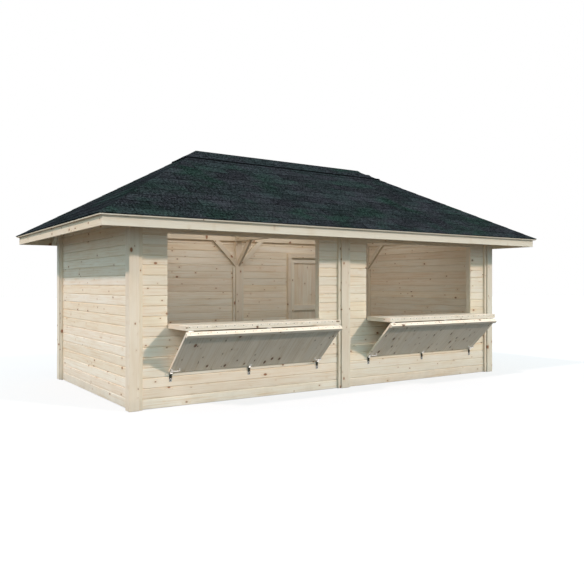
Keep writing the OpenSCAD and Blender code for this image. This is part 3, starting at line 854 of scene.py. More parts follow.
def plank_rows(boards, start, along, inward, length, low, high, wall_key):
    """Level planks of one stretch of wall, one row for each cover height from the ground.

    start is the stretch's outer face at ground level. Each plank is a body with eased edges that
    stops half a slot short of the joint, on a core that reaches the joint as a tongue does. A row
    that is cut by an opening keeps its grain, and its cut edge stays sharp. wall_key is a whole
    number of the stretch's own, from which its planks take their grain."""
    rows = np.arange(math.ceil(high / PLANK_COVER - 1e-6))
    bottom, top = rows * PLANK_COVER, (rows + 1) * PLANK_COVER
    z0, z1 = np.maximum(bottom, low), np.minimum(top, high)
    rows, bottom, top, z0, z1 = (v[z1 - z0 > LEAST_PLANK] for v in (rows, bottom, top, z0, z1))
    start, along, inward = (np.array(v, float) for v in (start, along, inward))
    far = start + length * along
    cut_low, cut_high = z0 > bottom, z1 < top
    middle = start + PLANK_T / 2 * inward + ((bottom + top) / 2)[:, None] * UP
    middle = middle - np.sum(middle * along, -1, keepdims=True) * along
    key = wall_key * 100 + rows

    def outlines(low, high, inset, depth):
        near, end = start + inset * along + depth * inward, far - inset * along + depth * inward
        low, high = low[:, None] * UP, high[:, None] * UP
        return np.stack([near + low, end + low, end + high, near + high], 1)

    sharp = np.zeros(len(rows))
    chamfer = np.stack([np.where(cut_low, sharp, PLANK_FOOT_BEVEL), sharp,
                        np.where(cut_high, sharp, PLANK_TOP_BEVEL), sharp], 1)
    half_slot = PLANK_SLOT / 2
    body = outlines(z0 + np.where(cut_low, 0, half_slot), z1 - np.where(cut_high, 0, half_slot), 0, 0)
    boards.add(body, PLANK_T * inward, chamfer, key=key, middle=middle)
    core = outlines(z0 + CORE_INSET * cut_low, z1 - CORE_INSET * cut_high, CORE_INSET,
                    (PLANK_T - PLANK_CORE) / 2)
    return boards.add(core, PLANK_CORE * inward, 0.0, key=key, middle=middle)


def plank_piece(boards, name, node):
    """Joins planks in one piece that stands for a CAD node."""
    boards.piece(name + "_planks", PLANKS, "wall_planks", [node])


def side_walls():
    """Left and right wall, between the corner posts."""
    span = 2 * (HALF_W - POST)
    for name, side, key in (("left_wall", 1, 1), ("right_wall", -1, 2)):
        start = [side * WALL_LOW[0], -span / 2, 0]
        wall = plank_rows(Boards(), start, [0, 1, 0], [side, 0, 0], span, 0, WALL_H, key)
        plank_piece(wall, name, name)


def back_wall():
    """Back wall: the left bay, and the right bay beside and over the doorway."""

    def stretch(boards, x0, x1, z0, key):
        return plank_rows(boards, [x0, BACK_HIGH[1], 0], [1, 0, 0], [0, -1, 0], x1 - x0, z0, WALL_H, key)

    plank_piece(stretch(Boards(), BACK_LOW[0], BACK_HIGH[0], 0, 3), "back_wall_left", "back_wall_left")
    sides = stretch(Boards(), POST / 2, OVER_LOW[0], 0, 4)
    stretch(sides, OVER_HIGH[0], HALF_L - POST, 0, 5)
    plank_piece(sides, "back_wall_door_side", "back_wall_door_sides")
    over = stretch(Boards(), OVER_LOW[0], OVER_HIGH[0], OVER_LOW[2], 4)
    plank_piece(over, "back_wall_over_door", "back_wall_over_door")


def front_bay(side, centre, key):
    """One front bay: apron below the opening, planks beside it and lintel above it."""
    half, opening = BAY_W / 2, HATCH_W / 2

    def stretch(boards, x0, x1, z0, z1):
        start = [centre + x0, FRONT_FACE, 0]
        return plank_rows(boards, start, [1, 0, 0], [0, 1, 0], x1 - x0, z0, z1, key)

    plank_piece(stretch(Boards(), -half, half, 0, SILL_Z), f"front_{side}_apron", f"front_{side}_apron")
    cheeks = stretch(Boards(), -half, -opening, SILL_Z, HEAD_Z)
    stretch(cheeks, opening, half, SILL_Z, HEAD_Z)
    plank_piece(cheeks, f"front_{side}_side", f"front_{side}_sides")
    lintel = stretch(Boards(), -half, half, HEAD_Z, WALL_H)
    plank_piece(lintel, f"front_{side}_lintel", f"front_{side}_lintel")


def plank_walls():
    """All walls, in the pieces that the CAD part has."""
    side_walls()
    back_wall()
    front_bay("left", -BAY_X, 6)
    front_bay("right", BAY_X, 7)


BATTEN_W = 0.042
BATTEN_EDGE = 0.003
# Open joint between a batten and its post, outside and inside
BATTEN_GAP = 0.003
INNER_BATTEN_GAP = 0.0006


def batten_boxes(y0, x0, thick, top, gap):
    """Lowest and highest corners of the upright battens beside every post.

    y0 and x0 are the outer faces of the battens of the front and of the left wall."""
    lows, highs = [], []
    for x in (-HALF_L + POST, POST / 2):
        low, high = mirrored_boxes([x + gap, y0, 0], [x + BATTEN_W, y0 + thick, top], (0, 1))
        lows.append(low)
        highs.append(high)
    start = -HALF_W + POST
    low, high = mirrored_boxes([x0, start + gap, 0], [x0 + thick, start + BATTEN_W, top], (0, 1))
    return np.concatenate([*lows, low]), np.concatenate([*highs, high])


def battens():
    """Battens that hold the plank ends, outside and inside."""
    thick = WALL_LOW[0] - OUTER_BATTEN_LOW[0]
    low, high = batten_boxes(FRONT_FACE - thick, WALL_LOW[0] - thick, thick, WALL_H, BATTEN_GAP)
    timber("outer_battens_planed", "outer_battens", low, high, 2, BATTEN_EDGE)
    inside = (FRONT_FACE + PLANK_T, WALL_LOW[0] + PLANK_T)
    low, high = batten_boxes(*inside, thick, INNER_BATTEN_TOP, INNER_BATTEN_GAP)
    timber("inner_battens_planed", "inner_battens", low, high, 2, BATTEN_EDGE)


# ---------- serving hatches ----------

LEAF_W = SHELF_HIGH[0] - SHELF_LOW[0]
LEAF_T = 0.028
LEAF_BATTEN_T = SHELF_HIGH[2] - SHELF_LOW[2] - LEAF_T
LEAF_BATTEN_W = 0.06
LOWER_BATTEN_W = 0.045
# Chamfer between the boards of a leaf
LEAF_GROOVE = 0.0007
# Gap between the shelf and the lower leaf, and between that leaf's foot and the planks
LEAF_JOINT = 0.012
FOOT_GAP = 0.0005
LOWER_LEAF_L = 0.67
LOWER_TILT = math.acos((SHELF_HIGH[1] - SHELF_LOW[1] - FOOT_GAP) / LOWER_LEAF_L)
LOWER_START = np.array([0, SHELF_LOW[1], SHELF_LOW[2] - LEAF_JOINT])
LOWER_DOWN = np.array([0, math.cos(LOWER_TILT), -math.sin(LOWER_TILT)])
LOWER_OUT = np.array([0, -math.sin(LOWER_TILT), -math.cos(LOWER_TILT)])


def hatch_frame(side, centre):
    """Studs and rails behind the planks, around one opening."""
    x0, x1, y0, y1 = centre - HATCH_W / 2, centre + HATCH_W / 2, HATCH_LOW[1], HATCH_HIGH[1]
    z0, z1 = HATCH_LOW[2], HATCH_HIGH[2]
    studs = Boards().add_boxes([[x0 - STUD, y0, z0], [x1, y0, z0]], [[x0, y1, z1], [x1 + STUD, y1, z1]], 2)
    studs.add_boxes([[x0, y0, z0], [x0, y0, HEAD_Z]], [[x1, y1, SILL_Z], [x1, y1, z1]], 0)
    studs.piece(f"{side}_hatch_studs", TIMBER, "planed_timber", [f"{side}_hatch_frame"])


def across_leaf():
    """Edges of the boards across a leaf, from the leaf's middle, each one plank cover wide."""
    count = math.ceil(LEAF_W / PLANK_COVER)
    edges = (np.arange(count + 1) - count / 2) * PLANK_COVER
    return np.clip(edges, -LEAF_W / 2, LEAF_W / 2)


def on_lower_leaf(x, down, out):
    """Points on a lower leaf: x along the front, down from its hinge edge, out from its inner face."""
    x, down, out = np.broadcast_arrays(*(np.asarray(v, float) for v in (x, down, out)))
    return (LOWER_START + x[..., None] * np.array([1.0, 0, 0]) + down[..., None] * LOWER_DOWN
            + out[..., None] * LOWER_OUT)


def leaf_outline(left, right, top, foot, out):
    """Four corners of a rectangle on a lower leaf, left edge first, at one distance out."""
    return [on_lower_leaf(left, top, out), on_lower_leaf(right, top, out),
            on_lower_leaf(right, foot, out), on_lower_leaf(left, foot, out)]


def shelf(side, centre):
    """Upper leaf: boards from back to front over a frame of battens."""
    edges = across_leaf()
    x0, x1 = centre + edges[:-1], centre + edges[1:]
    y0, y1, z0, z1 = SHELF_LOW[1], SHELF_HIGH[1], SHELF_HIGH[2] - LEAF_T, SHELF_HIGH[2]
    one = np.ones(len(x0))
    leaf = Boards().add_boxes(np.stack([x0, y0 * one, z0 * one], -1), np.stack([x1, y1 * one, z1 * one], -1),
                              1, chamfer=LEAF_GROOVE)
    left, right = centre - LEAF_W / 2, centre + LEAF_W / 2
    w, foot = LEAF_BATTEN_W, SHELF_LOW[2]
    leaf.add_boxes([[left, y0, foot], [left, y1 - w, foot]], [[right, y0 + w, z0], [right, y1, z0]], 0)
    leaf.add_boxes([[left, y0 + w, foot], [right - w, y0 + w, foot]],
                   [[left + w, y1 - w, z0], [right, y1 - w, z0]], 1)
    leaf.piece(f"{side}_shelf_boards", LEAF, "leaf_boards", [f"{side}_shelf"])


def lower_leaf(side, centre):
    """Lower leaf: boards down the slope, with a batten on the outer face along the hinge edge."""
    edges = across_leaf()
    x0, x1 = centre + edges[:-1], centre + edges[1:]
    corners = np.stack([on_lower_leaf(x0, 0, 0), on_lower_leaf(x0, LOWER_LEAF_L, 0),
                        on_lower_leaf(x1, LOWER_LEAF_L, 0), on_lower_leaf(x1, 0, 0)], 1)
    leaf = Boards().add(corners, LEAF_T * LOWER_OUT, LEAF_GROOVE)
    batten = leaf_outline(centre - LEAF_W / 2, centre + LEAF_W / 2, 0, LOWER_BATTEN_W, LEAF_T)
    leaf.add([batten], LEAF_BATTEN_T * LOWER_OUT)
    leaf.piece(f"{side}_lower_leaf_boards", LEAF, "leaf_boards", [f"{side}_lower_leaf"])


def leaf_xs(inset):
    """Left, middle and right places of fittings along both leaves."""
    places = np.array([-LEAF_W / 2 + inset, 0, LEAF_W / 2 - inset])
    return np.concatenate([-BAY_X + places, BAY_X + places])


HINGE_INSET = 0.06
HINGE_HALF = 0.03
KNUCKLE_R = 0.0055
# Gap at each end of a knuckle
KNUCKLE_GAP = 0.0004
# Inner and outer face of a hinge flap, above and below the pin's axis
FLAP_NEAR, FLAP_FAR = 0.0035, 0.0058


def leaf_hinges():
    """Butt hinges between the leaves: three knuckles in a row and two flat flaps each."""
    hinges = Metalwork()
    pin_y, pin_z = LEAF_HINGE_LOW[1] + 0.006, (LEAF_HINGE_LOW[2] + LEAF_HINGE_HIGH[2]) / 2
    for x in leaf_xs(HINGE_INSET):
        knuckles = np.linspace(x - HINGE_HALF, x + HINGE_HALF, 4)
        for a, b in zip(knuckles[:-1], knuckles[1:]):
            hinges.bar([[a + KNUCKLE_GAP, pin_y, pin_z], [b - KNUCKLE_GAP, pin_y, pin_z]], KNUCKLE_R, 16)
        for z0, z1 in ((pin_z - FLAP_FAR, pin_z - FLAP_NEAR), (pin_z + FLAP_NEAR, pin_z + FLAP_FAR)):
            hinges.box([x - HINGE_HALF, pin_y, z0], [x + HINGE_HALF, LEAF_HINGE_HIGH[1], z1])
    hinges.piece("hatch_butt_hinges", ZINC, ["hatch_hinges"])


LATCH_INSET = 0.027
LATCH_HALF = 0.017
LATCH_PLATE_L, LATCH_PLATE_T = 0.04, 0.003
LATCH_DROP = 0.105
# How far a latch's screws lie to each side of its middle, and above the leaf's foot
LATCH_SCREW_X, LATCH_SCREW_UP = 0.01, 0.03
# Radius of a latch's pin, and how far it lies before and below the leaf's foot
LATCH_PIN_R, LATCH_PIN_AHEAD, LATCH_PIN_DROP = 0.0075, 0.003, 0.008
# Size of a hasp, and its gap to the planks
HASP_HALF, HASP_T, HASP_GAP = 0.016, 0.005, 0.0015
RING_HALF_W, RING_HALF_H, RING_WIRE_R = 0.012, 0.017, 0.003


def toggle_latches():
    """Latches at the foot of the lower leaves: a plate and a pin on the leaf, and a ring below.

    The ring is an ellipse that closes on itself, and hangs in front of a dark hasp on the planks."""
    latches, hasps = Metalwork(), Metalwork()
    foot = on_lower_leaf(0, LOWER_LEAF_L, LEAF_T)
    toe_y, toe_z = FRONT_FACE - HASP_GAP, foot[2] - LATCH_DROP
    pin_y, pin_z = foot[1] - LATCH_PIN_AHEAD, foot[2] - LATCH_PIN_DROP
    screw_down = LOWER_LEAF_L - LATCH_SCREW_UP
    sides = 20
    cosine, sine = circle(sides)
    for x in leaf_xs(LATCH_INSET):
        left, right = x - LATCH_HALF, x + LATCH_HALF
        plate = leaf_outline(left, right, LOWER_LEAF_L - LATCH_PLATE_L, LOWER_LEAF_L, LEAF_T)
        latches.plate([plate], LATCH_PLATE_T * LOWER_OUT)
        screw_x = x + np.array([-LATCH_SCREW_X, LATCH_SCREW_X])
        latches.screws(on_lower_leaf(screw_x, screw_down, LEAF_T + LATCH_PLATE_T), LOWER_OUT)
        latches.bar([[left, pin_y, pin_z], [right, pin_y, pin_z]], LATCH_PIN_R, 14)
        hasps.box([x - HASP_HALF, toe_y - HASP_T, toe_z + 0.003], [x + HASP_HALF, toe_y, pin_z], 0.001)
        ring = np.stack([x + RING_HALF_W * cosine, np.full(sides, toe_y - HASP_T - 0.0005),
                         toe_z + RING_HALF_H + RING_WIRE_R + RING_HALF_H * sine], -1)
        latches.bar(np.concatenate([ring, ring[:2]]), RING_WIRE_R, 8)
    latches.piece("hatch_toggle_latches", ZINC, ["hatch_latches"])
    hasps.piece("hatch_hasps", STEEL)


BOW_INSET = 0.061
BOW_R, BOW_BEND = 0.005, 0.012
# How far a bow stands off the leaf, reaches to each side and lies above the leaf's foot
BOW_STAND, BOW_REACH, BOW_UP = 0.03, 0.047, 0.062


def bow_handles():
    """Round bows beside the outer latches: up, a quarter circle, across and back again."""
    pulls = Metalwork()
    turn = np.linspace(0, np.pi / 2, 6)
    corner_x = BOW_REACH - BOW_BEND + BOW_BEND * np.sin(turn)
    corner_out = BOW_STAND - BOW_BEND + BOW_BEND * np.cos(turn)
    xs = np.concatenate([[-BOW_REACH], -corner_x[::-1], corner_x, [BOW_REACH]])
    outs = np.concatenate([[0], corner_out[::-1], corner_out, [0]])
    down = LOWER_LEAF_L - BOW_UP
    for x in leaf_xs(BOW_INSET)[[0, 2, 3, 5]]:
        pulls.bar(on_lower_leaf(x + xs, down, LEAF_T + outs), BOW_R, 14)
        for side in (-1, 1):
            rose = on_lower_leaf(x + side * BOW_REACH, down, LEAF_T + np.array([0, 0.0025, 0.0035]))
            pulls.bar(rose, np.array([0.011, 0.011, 0.008]), 18)
    pulls.piece("hatch_bow_handles", ZINC, ["hatch_pulls"])


NAIL_R, NAIL_H = 0.0048, 0.0006


def leaf_nails():
    """Nails through the front edge of each shelf and the hinge edge of each lower leaf."""
    edges = across_leaf()
    middles = (edges[:-1] + edges[1:]) / 2
    heads = Metalwork()
    for centre in (-BAY_X, BAY_X):
        front = np.stack([centre + middles, np.full(len(middles), SHELF_LOW[1]),
                          np.full(len(middles), SHELF_HIGH[2] - 0.6 * LEAF_T)], -1)
        heads.screws(front, [0, -1, 0], NAIL_R, NAIL_H)
        heads.screws(on_lower_leaf(centre + middles, 0, 0.9 * LEAF_T), -LOWER_DOWN, NAIL_R, NAIL_H)
    heads.piece("leaf_nail_heads", STEEL)


def hatches():
    """Both serving hatches with their frames and fittings."""
    for side, centre in (("left", -BAY_X), ("right", BAY_X)):
        hatch_frame(side, centre)
        shelf(side, centre)
        lower_leaf(side, centre)
    leaf_hinges()
    toggle_latches()
    bow_handles()
    leaf_nails()


# ---------- back door ----------

DOOR_GAP = 0.008
JAMB_W = DOOR_LOW[0] - DOOR_GAP - JAMB_LOW[0]
DOORWAY_LOW, DOORWAY_HIGH = JAMB_LOW[0] + JAMB_W, JAMB_HIGH[0] - JAMB_W
DOOR_HEAD = JAMB_HIGH[2] - JAMB_W
# How far the stops stand into the doorway, and their gap to the closed leaf
STOP_W, STOP_GAP, STOP_EDGE = 0.012, 0.006, 0.001
DOOR_BOARDS, DOOR_BOARD_T, DOOR_BOARD_EDGE = 8, 0.018, 0.003
STILE_W, RAIL_W, MID_RAIL_Z = 0.09, 0.1, 0.919


def door_frame():
    """Jambs and head of the doorway, with the stops that the leaf closes against."""
    x0, x1, y0, y1, top = DOORWAY_LOW, DOORWAY_HIGH, JAMB_LOW[1], JAMB_HIGH[1], JAMB_HIGH[2]
    frame_boards = Boards().add_boxes([[JAMB_LOW[0], y0, 0], [x1, y0, 0]],
                                      [[x0, y1, top], [JAMB_HIGH[0], y1, top]], 2)
    frame_boards.add_boxes([x0, y0, DOOR_HEAD], [x1, y1, top], 0)
    stop_y, under = DOOR_LOW[1] - STOP_GAP, DOOR_HEAD - STOP_W
    frame_boards.add_boxes([[x0, y0, 0], [x1 - STOP_W, y0, 0]],
                           [[x0 + STOP_W, stop_y, under], [x1, stop_y, under]], 2, chamfer=STOP_EDGE)
    frame_boards.add_boxes([x0, y0, under], [x1, stop_y, DOOR_HEAD], 0, chamfer=STOP_EDGE)
    frame_boards.piece("door_frame_planed", TIMBER, "planed_timber", ["door_frame"])


def door_leaf():
    """Upright boards outside, with two stiles and three rails on the inner face."""
    x0, x1, z0, z1 = DOOR_LOW[0], DOOR_HIGH[0], DOOR_LOW[2], DOOR_HIGH[2]
    face, inner = DOOR_HIGH[1], DOOR_LOW[1]
    seam = face - DOOR_BOARD_T
    edges = np.linspace(x0, x1, DOOR_BOARDS + 1)
    one = np.ones(DOOR_BOARDS)
    leaf = Boards().add_boxes(np.stack([edges[:-1], seam * one, z0 * one], -1),
                              np.stack([edges[1:], face * one, z1 * one], -1), 2, chamfer=DOOR_BOARD_EDGE)
    left, right = x0 + STILE_W, x1 - STILE_W
    leaf.add_boxes([[x0, inner, z0], [right, inner, z0]], [[left, seam, z1], [x1, seam, z1]], 2)
    rails = [z0, MID_RAIL_Z, z1 - RAIL_W]
    leaf.add_boxes([[left, inner, z] for z in rails], [[right, seam, z + RAIL_W] for z in rails], 0)
    leaf.piece("door_leaf_boards", PLANKS, "wall_planks", ["door_leaf"], "door")


HINGE_X, HINGE_Y = DOOR_LOW[0] - DOOR_GAP / 2, frame["joints"][0]["pos_m"][1]
STRAP_W, STRAP_T = 0.034, 0.004
STRAP_START, STRAP_WAIST, STRAP_END = 0.008, 0.34, 0.42
EYE_R, PIN_R = 0.0098, 0.006
# Lower end of the cup that carries a strap's eye, and its upper end, from the strap's lower edge
CUP_LOW, CUP_HIGH = -0.0083, -0.0003
# Foot, shoulder and tip of a pin, from the strap's lower edge, and the radius of the tip
PIN_LOW, PIN_SHOULDER, PIN_TOP, PIN_TIP_R = -0.006, 0.044, 0.0457, 0.004
# Outer and inner end of a pintle's plate and outer end of its arm, from the pin, and the plate's thickness
PINTLE_REACH, PINTLE_END, PINTLE_ARM, PINTLE_T = 0.05, 0.004, 0.012, 0.004


def strap(straps, z):
    """A strap that narrows in two steps, with its eye round the pin and five screws."""
    y = DOOR_HIGH[1] + STRAP_T
    places = [(STRAP_START, 0.0), (STRAP_WAIST, 0.006), (STRAP_END, 0.013)]
    for (near, near_cut), (far, far_cut) in zip(places[:-1], places[1:]):
        outline = [[HINGE_X + near, y, z + near_cut], [HINGE_X + far, y, z + far_cut],
                   [HINGE_X + far, y, z + STRAP_W - far_cut], [HINGE_X + near, y, z + STRAP_W - near_cut]]
        straps.plate([outline], [0, -STRAP_T, 0], 0.001)
    straps.bar([[HINGE_X, HINGE_Y, z], [HINGE_X, HINGE_Y, z + STRAP_W]], EYE_R, 24)
    screws = [[HINGE_X + d, y, z + STRAP_W / 2] for d in (0.05, 0.12, 0.19, 0.26, 0.33)]
    straps.screws(screws, [0, 1, 0], 0.0065, 0.003)


def pintle(pintles, z):
    """A pin with an eased tip in a cup, on a plate with two screws on the jamb."""
    face = DOOR_HIGH[1]
    heights = (z + PIN_LOW, z + PIN_SHOULDER, z + PIN_TOP)
    pintles.bar([[HINGE_X, HINGE_Y, h] for h in heights], np.array([PIN_R, PIN_R, PIN_TIP_R]), 20)
    pintles.bar([[HINGE_X, HINGE_Y, z + CUP_LOW], [HINGE_X, HINGE_Y, z + CUP_HIGH]], EYE_R, 24)
    end, outside = HINGE_X - PINTLE_END, face + PINTLE_T
    pintles.box([HINGE_X - PINTLE_REACH, face, z + CUP_LOW], [end, outside, z + STRAP_W], 0.001)
    arm_low = [HINGE_X - PINTLE_ARM, face + PINTLE_T / 2, z + CUP_LOW]
    pintles.box(arm_low, [end, HINGE_Y + PIN_R, z + CUP_HIGH], 0.001)
    screws = [[HINGE_X - 0.034, outside, z + d] for d in (0.002, 0.024)]
    pintles.screws(screws, [0, 1, 0], 0.0055, 0.0025)


def door_hinges():
    """Two strap hinges on the leaf and their pins on the jamb."""
    straps, pintles = Metalwork(), Metalwork()
    for z in (STRAP_LOW[2], STRAP_HIGH[2] - STRAP_W):
        strap(straps, z)
        pintle(pintles, z)
    straps.piece("door_strap_hinges", ZINC, ["door_straps"], "door")
    pintles.piece("door_hinge_pins", ZINC, ["door_pintles"])


LEVER_PLATE_HALF_W, LEVER_PLATE_HALF_H, LEVER_PLATE_T = 0.02, 0.09, 0.004
LEVER_R, LEVER_BEND = 0.0085, 0.014
# How far a lever stands off the leaf and reaches along it, and its radii at the free end
LEVER_STAND, LEVER_REACH, LEVER_END_R = 0.05, 0.118, (0.009, 0.0075)
COLLAR_R, COLLAR_H = 0.0125, 0.012
# Round of the lock, and how far it lies below the lever
LOCK_R, LOCK_H, LOCK_DROP = 0.008, 0.006, 0.05
# How far a plate's two screws lie inside its ends
PLATE_SCREW_INSET = 0.012


def door_levers():
    """A lever on each face of the leaf: straight out, a quarter circle, and along the leaf.

    Each sits on a long plate with a collar, a lock's round below it and two screws."""
    levers = Metalwork()
    x, z = DOOR_HIGH[0] - STILE_W / 2, LEVER_LOW[2] + LEVER_PLATE_HALF_H
    lock_z, screw_z = z - LOCK_DROP, LEVER_PLATE_HALF_H - PLATE_SCREW_INSET
    turn = np.linspace(0, np.pi / 2, 7)
    bend = LEVER_STAND - LEVER_BEND + LEVER_BEND * np.sin(turn)
    depth = np.concatenate([[LEVER_PLATE_T, 0.6 * LEVER_STAND], bend, [LEVER_STAND]])
    aside = np.concatenate([[0, 0], LEVER_BEND * (1 - np.cos(turn)), [LEVER_REACH]])
    radius = np.concatenate([np.full(len(turn) + 1, LEVER_R), LEVER_END_R])
    for sign, start in ((1, DOOR_HIGH[1]), (-1, DOOR_LOW[1])):
        end, sunk = start + sign * LEVER_PLATE_T, start + sign * 0.75 * LEVER_PLATE_T
        levers.box([x - LEVER_PLATE_HALF_W, min(start, end), z - LEVER_PLATE_HALF_H],
                   [x + LEVER_PLATE_HALF_W, max(start, end), z + LEVER_PLATE_HALF_H], 0.0015)
        levers.bar(np.stack([x - aside, start + sign * depth, np.full(len(depth), z)], -1), radius, 18)
        levers.bar([[x, sunk, z], [x, start + sign * COLLAR_H, z]], COLLAR_R, 20)
        levers.screws([[x, end, z - screw_z], [x, end, z + screw_z]], [0, sign, 0])
        levers.bar([[x, sunk, lock_z], [x, start + sign * LOCK_H, lock_z]], LOCK_R, 18)
    levers.piece("door_lever_handles", ZINC, ["door_handle"], "door")


def door():
    """Plank door with its frame, hinges and levers."""
    door_frame()
    door_leaf()
    door_hinges()
    door_levers()


# ---------- roof ----------

SLOPES = (
    ("front", np.array([0, -1, 0.0]), RIDGE_HALF),
    ("back", np.array([0, 1, 0.0]), RIDGE_HALF),
    ("left", np.array([-1, 0, 0.0]), 0.0),
    ("right", np.array([1, 0, 0.0]), 0.0),
)


class Slope:
    """One roof slope. s runs along the eave, t up the slope from the shingle edge, n out of it."""

    def __init__(self, outward, half_ridge):
        reach = ROOF_HIGH[0] if abs(outward[0]) else ROOF_HIGH[1]
        self.half_ridge = half_ridge
        self.origin = reach * outward + EAVE_Z * UP
        self.s_axis = np.cross(UP, outward)
        self.t_axis = -math.cos(PITCH) * outward + math.sin(PITCH) * UP
        self.n_axis = math.sin(PITCH) * outward + math.cos(PITCH) * UP

    def half(self, t):
        """Half of the slope's length between its hips at height t up the slope."""
        return self.half_ridge + (SLOPE_LENGTH - t) * math.cos(PITCH)

    def at(self, s, t, n=0.0):
        """Points of the slope: its origin and the three axes, each times its own number."""
        s, t, n = np.broadcast_arrays(*(np.asarray(v, float) for v in (s, t, n)))
        along, up = s[..., None] * self.s_axis, t[..., None] * self.t_axis
        return self.origin + along + up + n[..., None] * self.n_axis

    def below(self, s, t, drop):
        """Points straight below the shingle top, on the same plan."""
        return self.at(s, t) - np.asarray(drop, float)[..., None] * UP


# Upright thickness of the shingle layer and of the boards
SHINGLE_V = 0.010 / math.cos(PITCH)
DECK_V = 0.018 / math.cos(PITCH)
# How far the shingles reach past the boards, up the slope
DRIP = (ROOF_HIGH[1] + DECK_LOW[1]) / math.cos(PITCH)
DECK_COVER = 0.096
DECK_EDGE = 0.0025
# The boards stop this far short of the ridge line
DECK_RIDGE_GAP = 0.004


def roof_deck(name, slope):
    """Level boards under the shingles, cut plumb at the hips and at the eave."""
    count = math.ceil((SLOPE_LENGTH - DRIP) / DECK_COVER)
    t = np.minimum(DRIP + DECK_COVER * np.arange(count + 1), SLOPE_LENGTH - DECK_RIDGE_GAP)
    low, high = t[:-1], t[1:]
    foot, head = slope.half(low), slope.half(high)
    ends = ((-foot, low), (foot, low), (head, high), (-head, high))
    corners = np.stack([slope.below(s, t, SHINGLE_V) for s, t in ends], 1)
    boards = Boards().add(corners, [0, 0, -DECK_V], np.array([DECK_EDGE, 0.0, DECK_EDGE, 0.0]))
    boards.piece(f"roof_boards_{name}", ROOFBOARD, "roof_boards", [f"roof_deck_{name}"])


RAFTER_V = 0.110 / math.cos(PITCH)
RAFTER_T = 0.05
RAFTER_PITCH = 0.62
RAFTER_EDGE = 0.002
FASCIA_T = 0.02
# Upright distance from the shingle top down to the rafters
RAFTER_DROP = SHINGLE_V + DECK_V + 0.0001
# Gap between a jack rafter and the hip rafter or ridge beam that it meets
JACK_GAP = 0.001


def rafter_places(long_side, half_ridge):
    """Where the rafters of a slope stand along its eave, and how far each head is from the ridge.

    A head is half a ridge beam, or half a hip rafter's slanted width, short of the line it meets."""
    half = HALF_L if long_side else HALF_W
    count = math.ceil(2 * half / RAFTER_PITCH)
    if long_side:
        places = np.linspace(-half + RAFTER_T, half - RAFTER_T, count + 1)
    else:
        places = np.linspace(-half, half, count + 1)[1:-1]
    clear = RAFTER_T / 2 * math.sqrt(2) + RAFTER_T / 2 + JACK_GAP
    least = RAFTER_T / 2 if long_side else 2 * RAFTER_T
    return places, np.maximum(np.abs(places) - half_ridge + clear, least)


def common_rafters():
    """Common and jack rafters under all four slopes, from the fascia up to the hips or the ridge."""
    tail = (ROOF_HIGH[1] + FASCIA_LOW[1] + FASCIA_T) / math.cos(PITCH)
    boards = Boards()
    for _, outward, half_ridge in SLOPES:
        slope = Slope(outward, half_ridge)
        places, from_ridge = rafter_places(half_ridge > 0, half_ridge)
        head = SLOPE_LENGTH - from_ridge / math.cos(PITCH)
        s0 = places - RAFTER_T / 2
        foot = np.full(len(places), tail)
        low_drop = RAFTER_DROP + RAFTER_V
        corners = np.stack([slope.below(s0, foot, RAFTER_DROP), slope.below(s0, head, RAFTER_DROP),
                            slope.below(s0, head, low_drop), slope.below(s0, foot, low_drop)], 1)
        boards.add(corners, RAFTER_T * slope.s_axis, RAFTER_EDGE)
    boards.piece("rafters_planed", TIMBER, "planed_timber", ["rafters"])


def hip_rafters():
    """Four hip rafters, from the ends of the ridge to the corners, falling by the rise over root 2."""
    hips = Boards()
    top = ROOF_HIGH[2] - RAFTER_DROP - RISE * RAFTER_T / 2 / math.sqrt(2)
    reach = (-FASCIA_LOW[1] - FASCIA_T) * math.sqrt(2) - RAFTER_T / 2
    ends = np.array([RAFTER_T, reach])
    z = (top - RISE / math.sqrt(2) * ends)[:, None] * UP
    depth = RAFTER_V * UP
    for side_x in (-1, 1):
        for side_y in (-1, 1):
            out = unit(np.array([side_x, side_y, 0.0]))
            across = RAFTER_T * np.cross(UP, out)
            line = np.array([side_x * RIDGE_HALF, 0, 0]) - across / 2 + ends[:, None] * out + z
            hips.add([[line[0], line[1], line[1] - depth, line[0] - depth]], across, RAFTER_EDGE)
    hips.piece("hip_rafters_planed", TIMBER, "planed_timber", ["hip_rafters"])


def ridge_beam():
    """Beam under the ridge, low enough for its upper edges to stay under the boards."""
    low = [-RIDGE_HALF, RIDGE_LOW[1], RIDGE_LOW[2]]
    high = [RIDGE_HALF, RIDGE_HIGH[1], RIDGE_HIGH[2] - RISE * RAFTER_T / 2]
    timber("ridge_beam_planed", "ridge_beam", low, high, 0)


def fascias():
    """Upright boards along the eaves."""
    low, high = mirrored_boxes(FASCIA_LOW, [FASCIA_HIGH[0], FASCIA_LOW[1] + FASCIA_T, FASCIA_HIGH[2]], (1,))
    timber("fascia_long_boards", "fascia_long", low, high, 0)
    inner = [FASCIA_END_LOW[0] + FASCIA_T, FASCIA_END_HIGH[1], FASCIA_END_HIGH[2]]
    low, high = mirrored_boxes(FASCIA_END_LOW, inner, (0,))
    timber("fascia_short_boards", "fascia_short", low, high, 1)


# Height of a course that shows, and of the first course at the eave
EXPOSURE = 0.196
FIRST_EXPOSURE = 0.160
TAB_PITCH = 0.440
# A tab's butt edge takes the granules' near-black, partly bare bitumen and partly painted shadow along the
# course line.
TAB_T = 0.004
# How far a tab runs on under the next course
TAB_LAP = 0.040
# Half width of the slot between two tabs, at least, and its spread
SLOT_HALF, SLOT_SPREAD = 0.002, 0.004
# Spread of a course's lower edge, and height of its waves
TAB_UNEVEN, TAB_WAVE = 0.003, 0.0012
# A tab is never narrower than this, and starts this far inside the hip
LEAST_TAB, HIP_INSET = 0.001, 0.01
SHEET_DROP, SHEET_T = 0.0085, 0.0014


